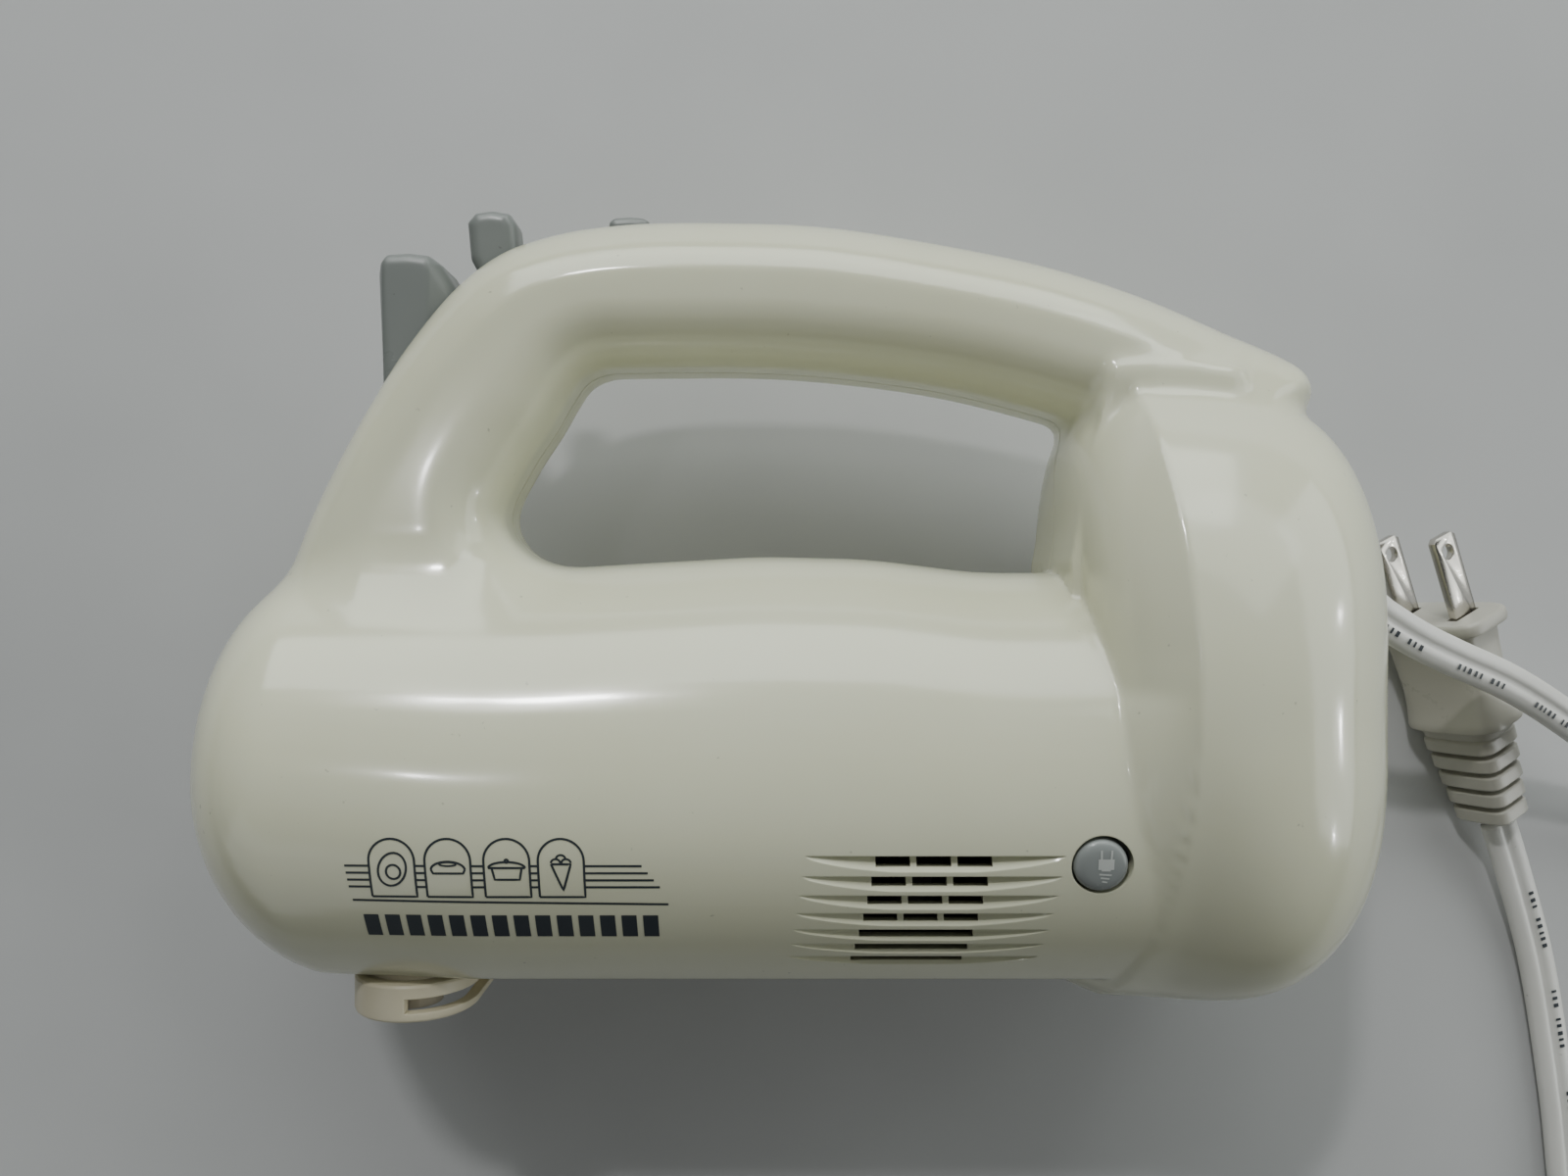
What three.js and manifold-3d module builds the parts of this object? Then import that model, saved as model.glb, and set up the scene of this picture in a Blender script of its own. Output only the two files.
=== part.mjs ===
// Hand-held electric kitchen mixer with a pull-out cord, lying on its right side.
// Units are millimetres. Design datum: X runs nose to heel, Y underside to handle, and Z = 0 is the
// mid-plane on which the two housing halves meet. PLACE moves the datum to the part's own frame,
// whose origin is the middle of the footprint on the floor.
import * as THREE from "three";
import { mergeVertices, toCreasedNormals } from "three/addons/utils/BufferGeometryUtils.js";
import Module from "manifold-3d";

const wasm = await Module();
wasm.setup();

// ---------- driving dimensions ----------
const PLACE = new THREE.Vector3(-1.35, 2.15, 41);
const WALL = 2.5; // housing wall
const SEAM = 0.12; // half of the gap between the two housing halves
const BODY_R = 35.5; // motor body's half-width
const UNDERSIDE = -65.5; // flat underside
const NOSE_START = -80;
const NOSE_LENGTH = 20.5;
const HEEL_RIM = 61.5;
const HEEL_LENGTH = 41.2;
const HEEL_HALF_WIDTH = 41;
const AXIS_Y = -33; // motor axis
const SPINDLE_X = -63.5;
const SPINDLE_Z = 12; // spindles stand this far either side of the mid-plane
const MODULE = 1.1; // worm gear module
const GEAR_TEETH = 15;
const LEAD = Math.PI * MODULE; // single-start worm
const GEAR_R = (MODULE * GEAR_TEETH) / 2;
const WORM_R = SPINDLE_Z - GEAR_R;
const REEL_Y = -20;
const REEL_R = 31;
const LEVER_PIVOT = [-40, 47];
const BUTTON_X = 48.6;
const BUTTON_TILT = 12; // degrees between the cord button's axis and +Z
const BRAKE_TILT = 35.6; // the same for the brake lever, seen from the reel's axis
const BRAKE_PIVOT = 56;

// ---------- materials ----------
function plastic(color, roughness = 0.4) {
  return new THREE.MeshStandardMaterial({ color, roughness, metalness: 0 });
}
function metal(color, roughness = 0.35) {
  return new THREE.MeshStandardMaterial({ color, roughness, metalness: 1 });
}
const IVORY = plastic(0xdcdac8, 0.25);
const COLLAR = plastic(0xe2dcc4, 0.45);
const GREY = plastic(0x8f979b, 0.35);
const BLACK = plastic(0x26282a, 0.6);
const WHITE = plastic(0xdedcd4, 0.4);
const NATURAL = plastic(0xe8e2d0, 0.5);
const BOARD = plastic(0x8a6a3c, 0.6);
const FILM = plastic(0x9a3b2c, 0.5);
const STEEL = metal(0x9a9da0);
const NICKEL = metal(0xb9b6ae, 0.25);
const COPPER = metal(0xb06a3a, 0.4);
const BRASS = metal(0xb6954e, 0.35);
const CARBON = plastic(0x2b2b2b, 0.8);

// ---------- solids from three.js geometry ----------
function solid(geometry) {
  const g = geometry.index ? geometry.toNonIndexed() : geometry.clone();
  g.deleteAttribute("normal");
  g.deleteAttribute("uv");
  const m = mergeVertices(g, 1e-4);
  return new wasm.Manifold(
    new wasm.Mesh({
      numProp: 3,
      vertProperties: m.attributes.position.array,
      triVerts: new Uint32Array(m.index.array),
    }),
  );
}

function box(x0, x1, y0, y1, z0, z1) {
  const g = new THREE.BoxGeometry(x1 - x0, y1 - y0, z1 - z0);
  g.translate((x0 + x1) / 2, (y0 + y1) / 2, (z0 + z1) / 2);
  return solid(g);
}

// A closed skin over rings of equally many points, with flat or pointed ends.
function loft(rings) {
  const n = rings[0].length;
  const points = rings.flat();
  const index = [];
  for (let i = 0; i + 1 < rings.length; i++) {
    for (let j = 0; j < n; j++) {
      const a = i * n + j;
      const b = i * n + ((j + 1) % n);
      index.push(a, b, a + n, b, b + n, a + n);
    }
  }
  for (const [ring, last] of [[rings[0], false], [rings[rings.length - 1], true]]) {
    const centre = new THREE.Vector3();
    ring.forEach((p) => centre.addScaledVector(p, 1 / n));
    const c = points.push(centre) - 1;
    const base = last ? (rings.length - 1) * n : 0;
    for (let j = 0; j < n; j++) {
      const a = base + j;
      const b = base + ((j + 1) % n);
      index.push(...(last ? [a, b, c] : [b, a, c]));
    }
  }
  const g = new THREE.BufferGeometry().setFromPoints(points);
  g.setIndex(index);
  const made = solid(g);
  if (made.volume() > 0) return made;
  const turned = [];
  for (let i = 0; i < index.length; i += 3) turned.push(index[i], index[i + 2], index[i + 1]);
  g.setIndex(turned);
  return solid(g);
}

// A prism: a polygon in the plane across the axis, pushed along it from a to b.
// The polygon's points are [y, z] for axis x, [x, z] for axis y and [x, y] for axis z.
function prism(axis, outline, a, b) {
  const at = {
    x: ([u, v], w) => new THREE.Vector3(w, u, v),
    y: ([u, v], w) => new THREE.Vector3(u, w, v),
    z: ([u, v], w) => new THREE.Vector3(u, v, w),
  }[axis];
  const shape = new THREE.Shape(outline.map(([u, v]) => new THREE.Vector2(u, v)));
  const g = new THREE.ExtrudeGeometry(shape, { depth: 1, bevelEnabled: false, steps: 1 });
  const p = g.attributes.position;
  for (let i = 0; i < p.count; i++) {
    const q = at([p.getX(i), p.getY(i)], a + (b - a) * p.getZ(i));
    p.setXYZ(i, q.x, q.y, q.z);
  }
  const made = solid(g);
  return made.volume() > 0 ? made : solid(flip(g));
}

function flip(geometry) {
  const g = geometry.index ? geometry.toNonIndexed() : geometry.clone();
  const p = g.attributes.position;
  for (let i = 0; i < p.count; i += 3) {
    const b = [p.getX(i + 1), p.getY(i + 1), p.getZ(i + 1)];
    p.setXYZ(i + 1, p.getX(i + 2), p.getY(i + 2), p.getZ(i + 2));
    p.setXYZ(i + 2, ...b);
  }
  return g;
}

// A body of revolution about a line along the axis. Profile points are [radius, station].
function turned(axis, centre, profile, sides = 24) {
  const rings = [];
  for (let k = 0; k < sides; k++) {
    const t = ((k + 0.5) / sides) * 2 * Math.PI;
    const c = Math.cos(t);
    const s = Math.sin(t);
    rings.push(profile.map(([r, w]) => {
      const u = centre[0] + r * c;
      const v = centre[1] + r * s;
      if (axis === "x") return new THREE.Vector3(w, u, v);
      if (axis === "y") return new THREE.Vector3(u, w, v);
      return new THREE.Vector3(u, v, w);
    }));
  }
  const n = profile.length;
  const points = rings.flat();
  const index = [];
  for (let k = 0; k < sides; k++) {
    const next = (k + 1) % sides;
    for (let j = 0; j < n; j++) {
      const a = k * n + j;
      const b = k * n + ((j + 1) % n);
      const c = next * n + j;
      const d = next * n + ((j + 1) % n);
      index.push(a, b, c, b, d, c);
    }
  }
  const g = new THREE.BufferGeometry().setFromPoints(points);
  g.setIndex(index);
  return tidy(g);
}

// Drops the triangles that an on-axis profile point collapses, and faces the skin outwards.
function tidy(geometry) {
  const m = mergeVertices(geometry, 1e-4);
  const keep = [];
  for (let i = 0; i < m.index.count; i += 3) {
    const [a, b, c] = [m.index.getX(i), m.index.getX(i + 1), m.index.getX(i + 2)];
    if (a !== b && b !== c && a !== c) keep.push(a, b, c);
  }
  m.setIndex(keep);
  const made = solid(m);
  return made.volume() > 0 ? made : solid(flip(m));
}

function rod(axis, centre, r, a, b, sides = 20) {
  return turned(axis, centre, [[0, a], [r, a], [r, b], [0, b]], sides);
}

function ring(axis, centre, inner, outer, a, b, sides = 24) {
  return turned(axis, centre, [[inner, a], [outer, a], [outer, b], [inner, b]], sides);
}

function circle(cx, cy, r, sides, from = 0, to = 2 * Math.PI) {
  const whole = Math.abs(to - from) > 6.28;
  const out = [];
  for (let k = 0; k < sides + (whole ? 0 : 1); k++) {
    const t = from + ((to - from) * k) / sides;
    out.push([cx + r * Math.cos(t), cy + r * Math.sin(t)]);
  }
  return out;
}

// Two half circles joined by straight sides, long along the second coordinate.
function stadium(cx, half, r, sides = 10) {
  return [
    ...circle(cx, half - r, r, sides, 0, Math.PI),
    ...circle(cx, -(half - r), r, sides, Math.PI, 2 * Math.PI),
  ];
}

// ---------- housing shape ----------
function lerp(table, x) {
  if (x <= table[0][0]) return table[0][1];
  for (let i = 1; i < table.length; i++) {
    const [x1, y1] = table[i];
    const [x0, y0] = table[i - 1];
    if (x <= x1) return y0 + ((y1 - y0) * (x - x0)) / (x1 - x0);
  }
  return table[table.length - 1][1];
}

function dome(s, p) {
  return s >= 1 ? 0 : Math.pow(1 - Math.pow(s, p), 1 / p);
}

const WIDTH = [[-80, BODY_R], [45, BODY_R], [50, 36], [55, 38], [HEEL_RIM, HEEL_HALF_WIDTH]];
const TOP = [[-80, 3.5], [-40, 3.6], [-4, 5.7], [15, 5.2], [35, 2.7], [47, 2.8], [50, 6], [52, 17],
  [55, 31], [58, 32.5], [HEEL_RIM, 33]];
const MIDDLE = [[-80, -31.5], [-50, -35], [45, -35], [55, -28], [HEEL_RIM, -16]];
const BOTTOM = [[-80, UNDERSIDE], [47, UNDERSIDE], [54, -66.5], [HEEL_RIM, -69.5]];

// One cross-section of the motor body and heel at station x, shrunk by t all round.
function section(x, t) {
  let w = lerp(WIDTH, x);
  let top = lerp(TOP, x);
  let bottom = lerp(BOTTOM, x);
  const mid = lerp(MIDDLE, x);
  let low = lerp([[-80, 34], [-50, 35.5], [45, 35.5], [HEEL_RIM, 54]], x);
  let centre = mid;
  let up = top - mid;
  if (x < NOSE_START) {
    const f = dome((NOSE_START - x) / (NOSE_LENGTH - t), 2.2);
    w = t + (BODY_R - t) * f;
    up = t + (up - t) * f;
    low = t + (34 - t) * f;
    bottom = -99;
  }
  if (x > HEEL_RIM) {
    const s = (x - HEEL_RIM) / (HEEL_LENGTH - t);
    w = t + (HEEL_HALF_WIDTH - t) * dome(s, 2.35);
    up = t + (up - t) * dome(s, 3.6);
    low = t + (54 - t) * dome(s, 2.35);
    bottom = -99;
    centre = -16 - 4 * Math.min(1, s);
  }
  const half = 14;
  const out = [];
  for (let k = 0; k < 2 * half; k++) {
    const a = Math.PI / 2 - (k * Math.PI) / half;
    const z = (w - t) * Math.cos(a);
    const v = Math.sin(a);
    const y = centre + (v > 0 ? (up - t) * v : (low - t) * v);
    out.push(new THREE.Vector3(x, Math.max(y, bottom + t), z));
  }
  return out;
}

function bodySolid(t) {
  const stations = [];
  const noseTip = NOSE_START - NOSE_LENGTH + t;
  const heelTip = HEEL_RIM + HEEL_LENGTH - t;
  for (const f of [0.002, 0.04, 0.14, 0.32, 0.6]) {
    stations.push(noseTip + f * (NOSE_START - noseTip));
  }
  stations.push(NOSE_START, -50, -24, -4, 16, 35, 47, 50, 52, 55, 58, HEEL_RIM);
  for (const f of [0.75, 0.5, 0.3, 0.15, 0.05, 0.002]) {
    stations.push(heelTip - f * (heelTip - HEEL_RIM));
  }
  return loft(stations.map((x) => section(x, t)));
}

// The handle's spine: outer edge, inner edge and half-width at each station, from the nose pillar
// over the grip to the lip above the heel.
const SPINE = [
  [[-90, -12], [-42, -12], 18],
  [[-88, -2], [-43.5, -3], 17.5],
  [[-85.5, 5], [-47.5, 5], 17],
  [[-82, 14], [-49.5, 13], 17],
  [[-78, 22.5], [-47.5, 22], 16.5],
  [[-73, 31.5], [-43, 29.5], 16.5],
  [[-66.5, 42.5], [-38.5, 35], 16.5],
  [[-57.5, 54], [-34, 37.6], 16.5],
  [[-49.5, 60.3], [-30, 38.7], 16.5],
  [[-41, 63.4], [-25, 39], 16.5],
  [[-28, 65.3], [-18.7, 39.2], 16.5],
  [[-10, 65.6], [-7.5, 39.4], 16.5],
  [[8, 64.8], [6, 38.9], 16.5],
  [[35, 60.4], [26, 36.4], 16.5],
  [[49, 57.2], [40, 33.2], 16.5],
  [[63, 52.6], [55, 28], 16.5],
  [[77, 47], [68, 20], 16.5],
  [[95, 38.4], [84, 12], 16.5],
  [[96.5, 34], [88, 10], 16],
];

function handleSolid(t) {
  const rings = SPINE.map(([outer, inner, half], i) => {
    const o = new THREE.Vector2(...outer);
    const n = new THREE.Vector2(...inner);
    const along = n.clone().sub(o).normalize();
    o.addScaledVector(along, t);
    n.addScaledVector(along, i > 1 && i < 15 ? -t : 0);
    const c = o.clone().add(n).multiplyScalar(0.5);
    const h = o.distanceTo(n) / 2;
    const w = half - t;
    const r = 7 - t;
    const out = [];
    for (let q = 0; q < 4; q++) {
      const su = q === 0 || q === 3 ? 1 : -1;
      const sv = q < 2 ? 1 : -1;
      for (let k = 0; k < 4; k++) {
        const a = ((q + k / 3) * Math.PI) / 2;
        const u = su * (h - r) + r * Math.cos(a);
        const v = sv * (w - r) + r * Math.sin(a);
        out.push(new THREE.Vector3(c.x - along.x * u, c.y - along.y * u, v));
      }
    }
    return out;
  });
  if (t > 0) {
    rings.pop();
  }
  return loft(rings);
}

const outerSkin = bodySolid(0).add(handleSolid(0));
const innerSpace = bodySolid(WALL).add(handleSolid(WALL));

// ---------- openings in the housing ----------
const SCREWS = [[-82, -9], [-56, 20], [1, -59.5], [47, -59.5], [72, 41]];

function ventSlots(side) {
  const cuts = [];
  for (let k = 0; k < 7; k++) {
    const a = ((9.5 + 5.4 * k) * Math.PI) / 180;
    const y = -35 - BODY_R * Math.sin(a);
    const z = BODY_R * Math.cos(a);
    for (let j = 0; j < 3; j++) {
      const x = 14 + 6.3 * j - 0.55 * k;
      cuts.push(box(x, x + 5.2, y - 0.8, y + 0.8, side > 0 ? z - 5 : -z - 2, side > 0 ? z + 2 : -z + 5));
    }
  }
  return cuts;
}

function buttonFrame(s) {
  return s.rotate([BUTTON_TILT, 0, 0]).translate([BUTTON_X, -35, 0]);
}

function leverSlot() {
  const [px, py] = LEVER_PIVOT;
  const outline = [];
  for (let k = 0; k <= 6; k++) {
    const a = ((156 - 14 * k) * Math.PI) / 180;
    outline.push([px + 30 * Math.cos(a), py + 30 * Math.sin(a)]);
  }
  for (let k = 6; k >= 0; k--) {
    const a = ((156 - 14 * k) * Math.PI) / 180;
    outline.push([px + 11 * Math.cos(a), py + 11 * Math.sin(a)]);
  }
  return prism("z", outline, -4.7, 4.7);
}

function ejectSlot() {
  return prism("y", [[-73.4, -6.4], [-71, -8.6], [-62, -8.6], [-56.2, -4.6], [-56.2, 4.6],
    [-62, 8.6], [-71, 8.6], [-73.4, 6.4]], 16, 75);
}

function noseHole() {
  return rod("x", [-32, 0], 15.2, -110, -93, 28);
}

function collarHole() {
  return prism("y", stadium(SPINDLE_X, 18.1, 8.6), -75, -60);
}

function housing(side) {
  let shell = outerSkin.subtract(innerSpace);
  const posts = [];
  const wells = [];
  for (const [x, y] of SCREWS) {
    posts.push(rod("z", [x, y], side > 0 ? 3.4 : 4.8, side > 0 ? 0 : -40, side > 0 ? 40 : 0, 14));
    if (side > 0) {
      wells.push(rod("z", [x, y], 1.45, -1, 9, 10));
    } else {
      wells.push(rod("z", [x, y], 1.45, -40, 1, 10), rod("z", [x, y], 3.2, -60, -8, 14));
    }
  }
  const ribs = [];
  for (const x of [-52.5, 13.2]) {
    const plate = box(x, x + 2, -70, 8, -40, 40);
    ribs.push(plate.subtract(rod("x", [AXIS_Y, 0], 27.6, x - 1, x + 3, 28)));
  }
  ribs.push(box(-90, -60, -1, 1, -18, 18).subtract(box(-72.2, -67, -2, 2, -3, 3)));
  const inside = posts.concat(ribs).reduce((a, b) => a.add(b));
  shell = shell.add(inside.intersect(outerSkin));
  const cuts = [noseHole(), collarHole(), ejectSlot(), leverSlot(), turboHole(), cordHole()];
  for (const c of cuts.concat(wells, ventSlots(side))) shell = shell.subtract(c);
  if (side > 0) shell = shell.subtract(buttonFrame(rod("z", [0, 0], 4.75, 25, 45, 24)));
  const half = side > 0 ? box(-120, 120, -90, 90, SEAM, 60) : box(-120, 120, -90, 90, -60, -SEAM);
  return shell.intersect(half);
}

function turboHole() {
  return box(-32.2, -23.3, 56, 70, -4.4, 4.4);
}

function cordHole() {
  return rod("x", [-1.5, 0], 5.2, 90, 110, 20);
}

// ---------- nose, collar and controls ----------
function noseGrille() {
  let g = outerSkin.subtract(bodySolid(2)).intersect(rod("x", [-32, 0], 14.9, -110, -90, 28));
  for (let k = -2; k <= 2; k++) {
    const reach = Math.sqrt(12.4 ** 2 - (4.5 * k) ** 2);
    g = g.subtract(box(-110, -90, -32 + 4.5 * k - 1, -32 + 4.5 * k + 1, -reach, reach));
  }
  return g;
}

function beaterCollar() {
  const cup = prism("y", stadium(SPINDLE_X, 20, 10.5, 14), -72, UNDERSIDE - 0.2);
  const neck = prism("y", stadium(SPINDLE_X, 17.8, 8.3), -66, -60.5);
  let c = cup.add(neck).subtract(prism("y", stadium(SPINDLE_X, 18, 8.5, 14), -73, -67.6));
  for (const z of [-SPINDLE_Z, SPINDLE_Z]) {
    c = c.subtract(rod("y", [SPINDLE_X, z], 5.2, -75, -55, 20));
  }
  return c.subtract(box(SPINDLE_X + 0.8, SPINDLE_X + 14, -70.4, -68, 2, 25));
}

function ejectButton() {
  const outline = [[-72.9, -6], [-70.8, -8], [-62.4, -8], [-56.8, -4.2], [-56.8, 4.2], [-62.4, 8],
    [-70.8, 8], [-72.9, 6]];
  const side = [[-73.2, 20], [-73.2, 56], [-71, 60], [-66, 60.4], [-61.5, 60.2], [-57, 52.5],
    [-57, 46], [-66.5, 30], [-66.5, 20]];
  return prism("y", outline, 18, 62).intersect(prism("z", side, -10, 10));
}

function ejectFork() {
  let f = box(-71.5, -67.7, -12.5, 19.7, -2.4, 2.4);
  f = f.add(box(-71.5, -61.5, -14.5, -11.5, -15, 15));
  for (const z of [-SPINDLE_Z, SPINDLE_Z]) f = f.add(rod("y", [SPINDLE_X, z], 2, -23, -11.6, 12));
  return f;
}

function coil(axis, centre, radius, wire, from, to, turns) {
  const steps = turns * 7;
  class Helix extends THREE.Curve {
    getPoint(s, target = new THREE.Vector3()) {
      const a = s * turns * 2 * Math.PI;
      const u = centre[0] + radius * Math.cos(a);
      const v = centre[1] + radius * Math.sin(a);
      const w = from + (to - from) * s;
      return axis === "y" ? target.set(u, w, v) : target.set(u, v, w);
    }
  }
  const shape = new THREE.Shape(circle(0, 0, wire, 4).map(([x, y]) => new THREE.Vector2(x, y)));
  const g = new THREE.ExtrudeGeometry(shape, { steps, bevelEnabled: false, extrudePath: new Helix() });
  const made = solid(g);
  return made.volume() > 0 ? made : solid(flip(g));
}

function speedLever() {
  const [px, py] = LEVER_PIVOT;
  const blade = [[px - 3.5, py - 2], [px + 3.5, py + 2], [-47.2, 58], [-46.6, 62.5], [-48.4, 67.6],
    [-55.4, 67.6], [-57.2, 64], [-55.8, 58], [-52.8, 52.5]];
  const lever = prism("z", blade, -4, 4).add(rod("z", [px, py], 4.4, -4, 4, 16));
  return lever.subtract(rod("z", [px, py], 2.1, -6, 6, 14));
}

function leverPin() {
  const [px, py] = LEVER_PIVOT;
  return rod("z", [px, py], 2, -7.5, 7.5, 14);
}

function turboButton() {
  return box(-31.8, -23.7, 58, 64, -4, 4).add(box(-31.2, -24.3, 64, 66.9, -3.4, 3.4))
    .add(box(-33, -22.5, 58, 60.6, -5.4, 5.4));
}

function switchBlock() {
  return box(-34.5, -8, 43.5, 52, -9, 9).subtract(rod("y", [-27.8, 0], 2.7, 47.5, 53, 14));
}

// ---------- gearbox and motor ----------
function gearProfile() {
  const root = GEAR_R - 1.3 * MODULE;
  const tip = GEAR_R + 0.9 * MODULE;
  const pitch = (2 * Math.PI) / GEAR_TEETH;
  const out = [];
  for (let k = 0; k < GEAR_TEETH; k++) {
    for (const [f, r] of [[-0.3, root], [-0.12, tip], [0.12, tip], [0.3, root]]) {
      out.push([(k + f) * pitch, r]);
    }
  }
  return out;
}

function spindle(side) {
  const z = side * SPINDLE_Z;
  const profile = gearProfile();
  const twist = LEAD / (2 * Math.PI * WORM_R) / GEAR_R;
  // Half a pitch of offset puts a space, not a tooth, on the worm's thread.
  const phase = side > 0 ? -Math.PI / 2 + Math.PI / GEAR_TEETH : Math.PI / 2;
  const rings = [-3.4, 0, 3.4].map((dy) => profile.map(([a, r]) => {
    const t = a + phase - twist * dy;
    return new THREE.Vector3(SPINDLE_X + r * Math.cos(t), AXIS_Y + dy, z + r * Math.sin(t));
  }));
  const shaft = turned("y", [SPINDLE_X, z], [[0, -70.6], [4.9, -70.6], [4.9, -50], [4.4, -50],
    [4.4, -20.2], [0, -20.2]], 20);
  return loft(rings).add(shaft).subtract(rod("y", [SPINDLE_X, z], 3.15, -75, -15, 20));
}

function armatureShaft() {
  const top = WORM_R + 0.85 * MODULE;
  const base = WORM_R - 1.2 * MODULE - 0.4;
  const rings = [];
  const turns = 4;
  for (let k = 0; k <= turns * 14; k++) {
    const a = (k / 14 - turns / 2) * 2 * Math.PI;
    const ring = [];
    for (const [dx, r] of [[-1.02, base], [-0.38, top], [0.38, top], [1.02, base]]) {
      const x = SPINDLE_X + dx + (LEAD * a) / (2 * Math.PI);
      ring.push(new THREE.Vector3(x, AXIS_Y - r * Math.sin(a), r * Math.cos(a)));
    }
    rings.push(ring);
  }
  const shaft = turned("x", [AXIS_Y, 0], [[0, -81], [2, -81], [2, -75], [2.5, -75], [2.5, 29],
    [0, 29]], 20);
  return loft(rings).add(shaft);
}

function armatureCore() {
  const r = 13.4;
  const out = [];
  const slots = 10;
  for (let k = 0; k < slots; k++) {
    const p = (2 * Math.PI) / slots;
    for (const [f, q] of [[-0.38, r], [-0.13, r], [0.13, r], [0.38, r], [0.42, r - 1.4],
      [0.34, r - 4.6], [0.66, r - 4.6], [0.58, r - 1.4]]) {
      out.push([AXIS_Y + q * Math.cos((k + f) * p), q * Math.sin((k + f) * p)]);
    }
  }
  return prism("x", out, -36, -8).subtract(rod("x", [AXIS_Y, 0], 2.6, -40, 0, 20));
}

function armatureWinding(a, b) {
  return turned("x", [AXIS_Y, 0], [[2.65, a], [9.6, a], [11.4, (a + b) / 2], [9.6, b], [2.65, b]], 20);
}

function commutator() {
  let c = ring("x", [AXIS_Y, 0], 2.65, 6.6, -0.8, 7.6, 24);
  for (let k = 0; k < 12; k++) {
    const slot = box(-2, 9, 5.9, 8, -0.25, 0.25).rotate([k * 30 + 7, 0, 0]).translate([0, AXIS_Y, 0]);
    c = c.subtract(slot);
  }
  return c;
}

function fan() {
  const blades = [];
  for (let k = 0; k < 9; k++) {
    const blade = box(17.5, 26, 4, 24.2, -0.7, 0.7).rotate([0, 0, 0]);
    blades.push(blade.rotate([k * 40, 0, 0]).translate([0, AXIS_Y, 0]));
  }
  const hub = rod("x", [AXIS_Y, 0], 5.4, 16.5, 27, 20).add(ring("x", [AXIS_Y, 0], 3, 24.4, 16.5, 18, 30));
  return blades.reduce((a, b) => a.add(b), hub).subtract(rod("x", [AXIS_Y, 0], 2.6, 10, 30, 20));
}

function statorCore() {
  const y = AXIS_Y;
  const outline = [[y - 25, -13], [y - 21, -20], [y - 12, -22.5], [y + 12, -22.5], [y + 21, -20],
    [y + 25, -13], [y + 25, 13], [y + 21, 20], [y + 12, 22.5], [y - 12, 22.5], [y - 21, 20], [y - 25, 13]];
  let s = prism("x", outline, -36, -8).subtract(rod("x", [y, 0], 14.2, -40, 0, 32));
  for (const sy of [-1, 1]) {
    for (const sz of [-1, 1]) {
      const [a, b] = [y + sy * 8, y + sy * 20].sort((p, q) => p - q);
      const [c, d] = [sz * 11, sz * 18].sort((p, q) => p - q);
      s = s.subtract(box(-40, 0, a, b, c, d));
    }
  }
  return s;
}

function fieldCoil(side) {
  const [a, b] = [AXIS_Y + side * 11.8, AXIS_Y + side * 19.6].sort((p, q) => p - q);
  const outer = prism("y", [[-42, -12], [-38, -17.4], [-6, -17.4], [-2, -12], [-2, 12], [-6, 17.4],
    [-38, 17.4], [-42, 12]], a, b);
  return outer.subtract(box(-36.4, -7.6, a - 1, b + 1, -11.4, 11.4));
}

function bracket(x0, x1) {
  let b = rod("x", [AXIS_Y, 0], 27.2, x0, x1, 28);
  b = b.subtract(rod("x", [AXIS_Y, 0], 6.15, x0 - 1, x1 + 1, 20));
  for (const a of [45, 135, 225, 315]) {
    const t = (a * Math.PI) / 180;
    b = b.subtract(rod("x", [AXIS_Y + 17 * Math.sin(t), 17 * Math.cos(t)], 7.5, x0 - 1, x1 + 1, 16));
  }
  return b;
}

function gearPlate(y0, y1, bore) {
  const outline = [[-78, -19], [-73.5, -24.8], [-56, -24.8], [-53.2, -22], [-53.2, 22], [-56, 24.8],
    [-73.5, 24.8], [-78, 19]];
  let p = prism("y", outline, y0, y1);
  for (const z of [-SPINDLE_Z, SPINDLE_Z]) p = p.subtract(rod("y", [SPINDLE_X, z], bore, y0 - 1, y1 + 1, 20));
  return p;
}

function gearCarrier() {
  let c = gearPlate(-52.5, -48.5, 5.05);
  for (const z of [-22.8, 22.8]) {
    for (const x of [-72, -57]) c = c.add(rod("y", [x, z], 1.8, -49, -23.2, 10));
  }
  return c;
}

function gearCover() {
  let c = gearPlate(-23, -20.6, 4.55);
  c = c.subtract(box(-73, -66.5, -25, -18, -3.2, 3.2));
  return c;
}

// ---------- cord reel ----------
function reelFrame() {
  const disc = rod("x", [REEL_Y, 0], 32, 57.2, 59.2, 30);
  let f = disc.subtract(rod("x", [REEL_Y, 0], 3, 50, 62, 18));
  for (const a of [30, 150, 210, 330]) {
    const t = (a * Math.PI) / 180;
    f = f.subtract(rod("x", [REEL_Y + 21 * Math.sin(t), 21 * Math.cos(t)], 6.5, 56, 60, 16));
  }
  return f;
}

function reelDrum() {
  const profile = [[3.1, 62.6], [REEL_R, 62.6], [REEL_R, 64.2], [11.5, 64.2], [11.5, 80.2],
    [REEL_R, 80.2], [REEL_R, 81.8], [3.1, 81.8]];
  return turned("x", [REEL_Y, 0], profile, 36);
}

function mainspring() {
  const rings = [];
  for (let k = 0; k <= 60; k++) {
    const a = (k / 12) * 2 * Math.PI;
    const r = 6 + (k / 60) * 16;
    const c = Math.cos(a);
    const s = Math.sin(a);
    rings.push([[82.4, r], [86.8, r], [86.8, r + 0.7], [82.4, r + 0.7]].map(
      ([x, q]) => new THREE.Vector3(x, REEL_Y + q * c, q * s)));
  }
  return loft(rings);
}

// The brake lever works in a frame turned about the reel's axis: height is the distance from that axis.
function brakeFrame(made) {
  return made.rotate([BRAKE_TILT, 0, 0]).translate([0, REEL_Y, 0]);
}

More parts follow.
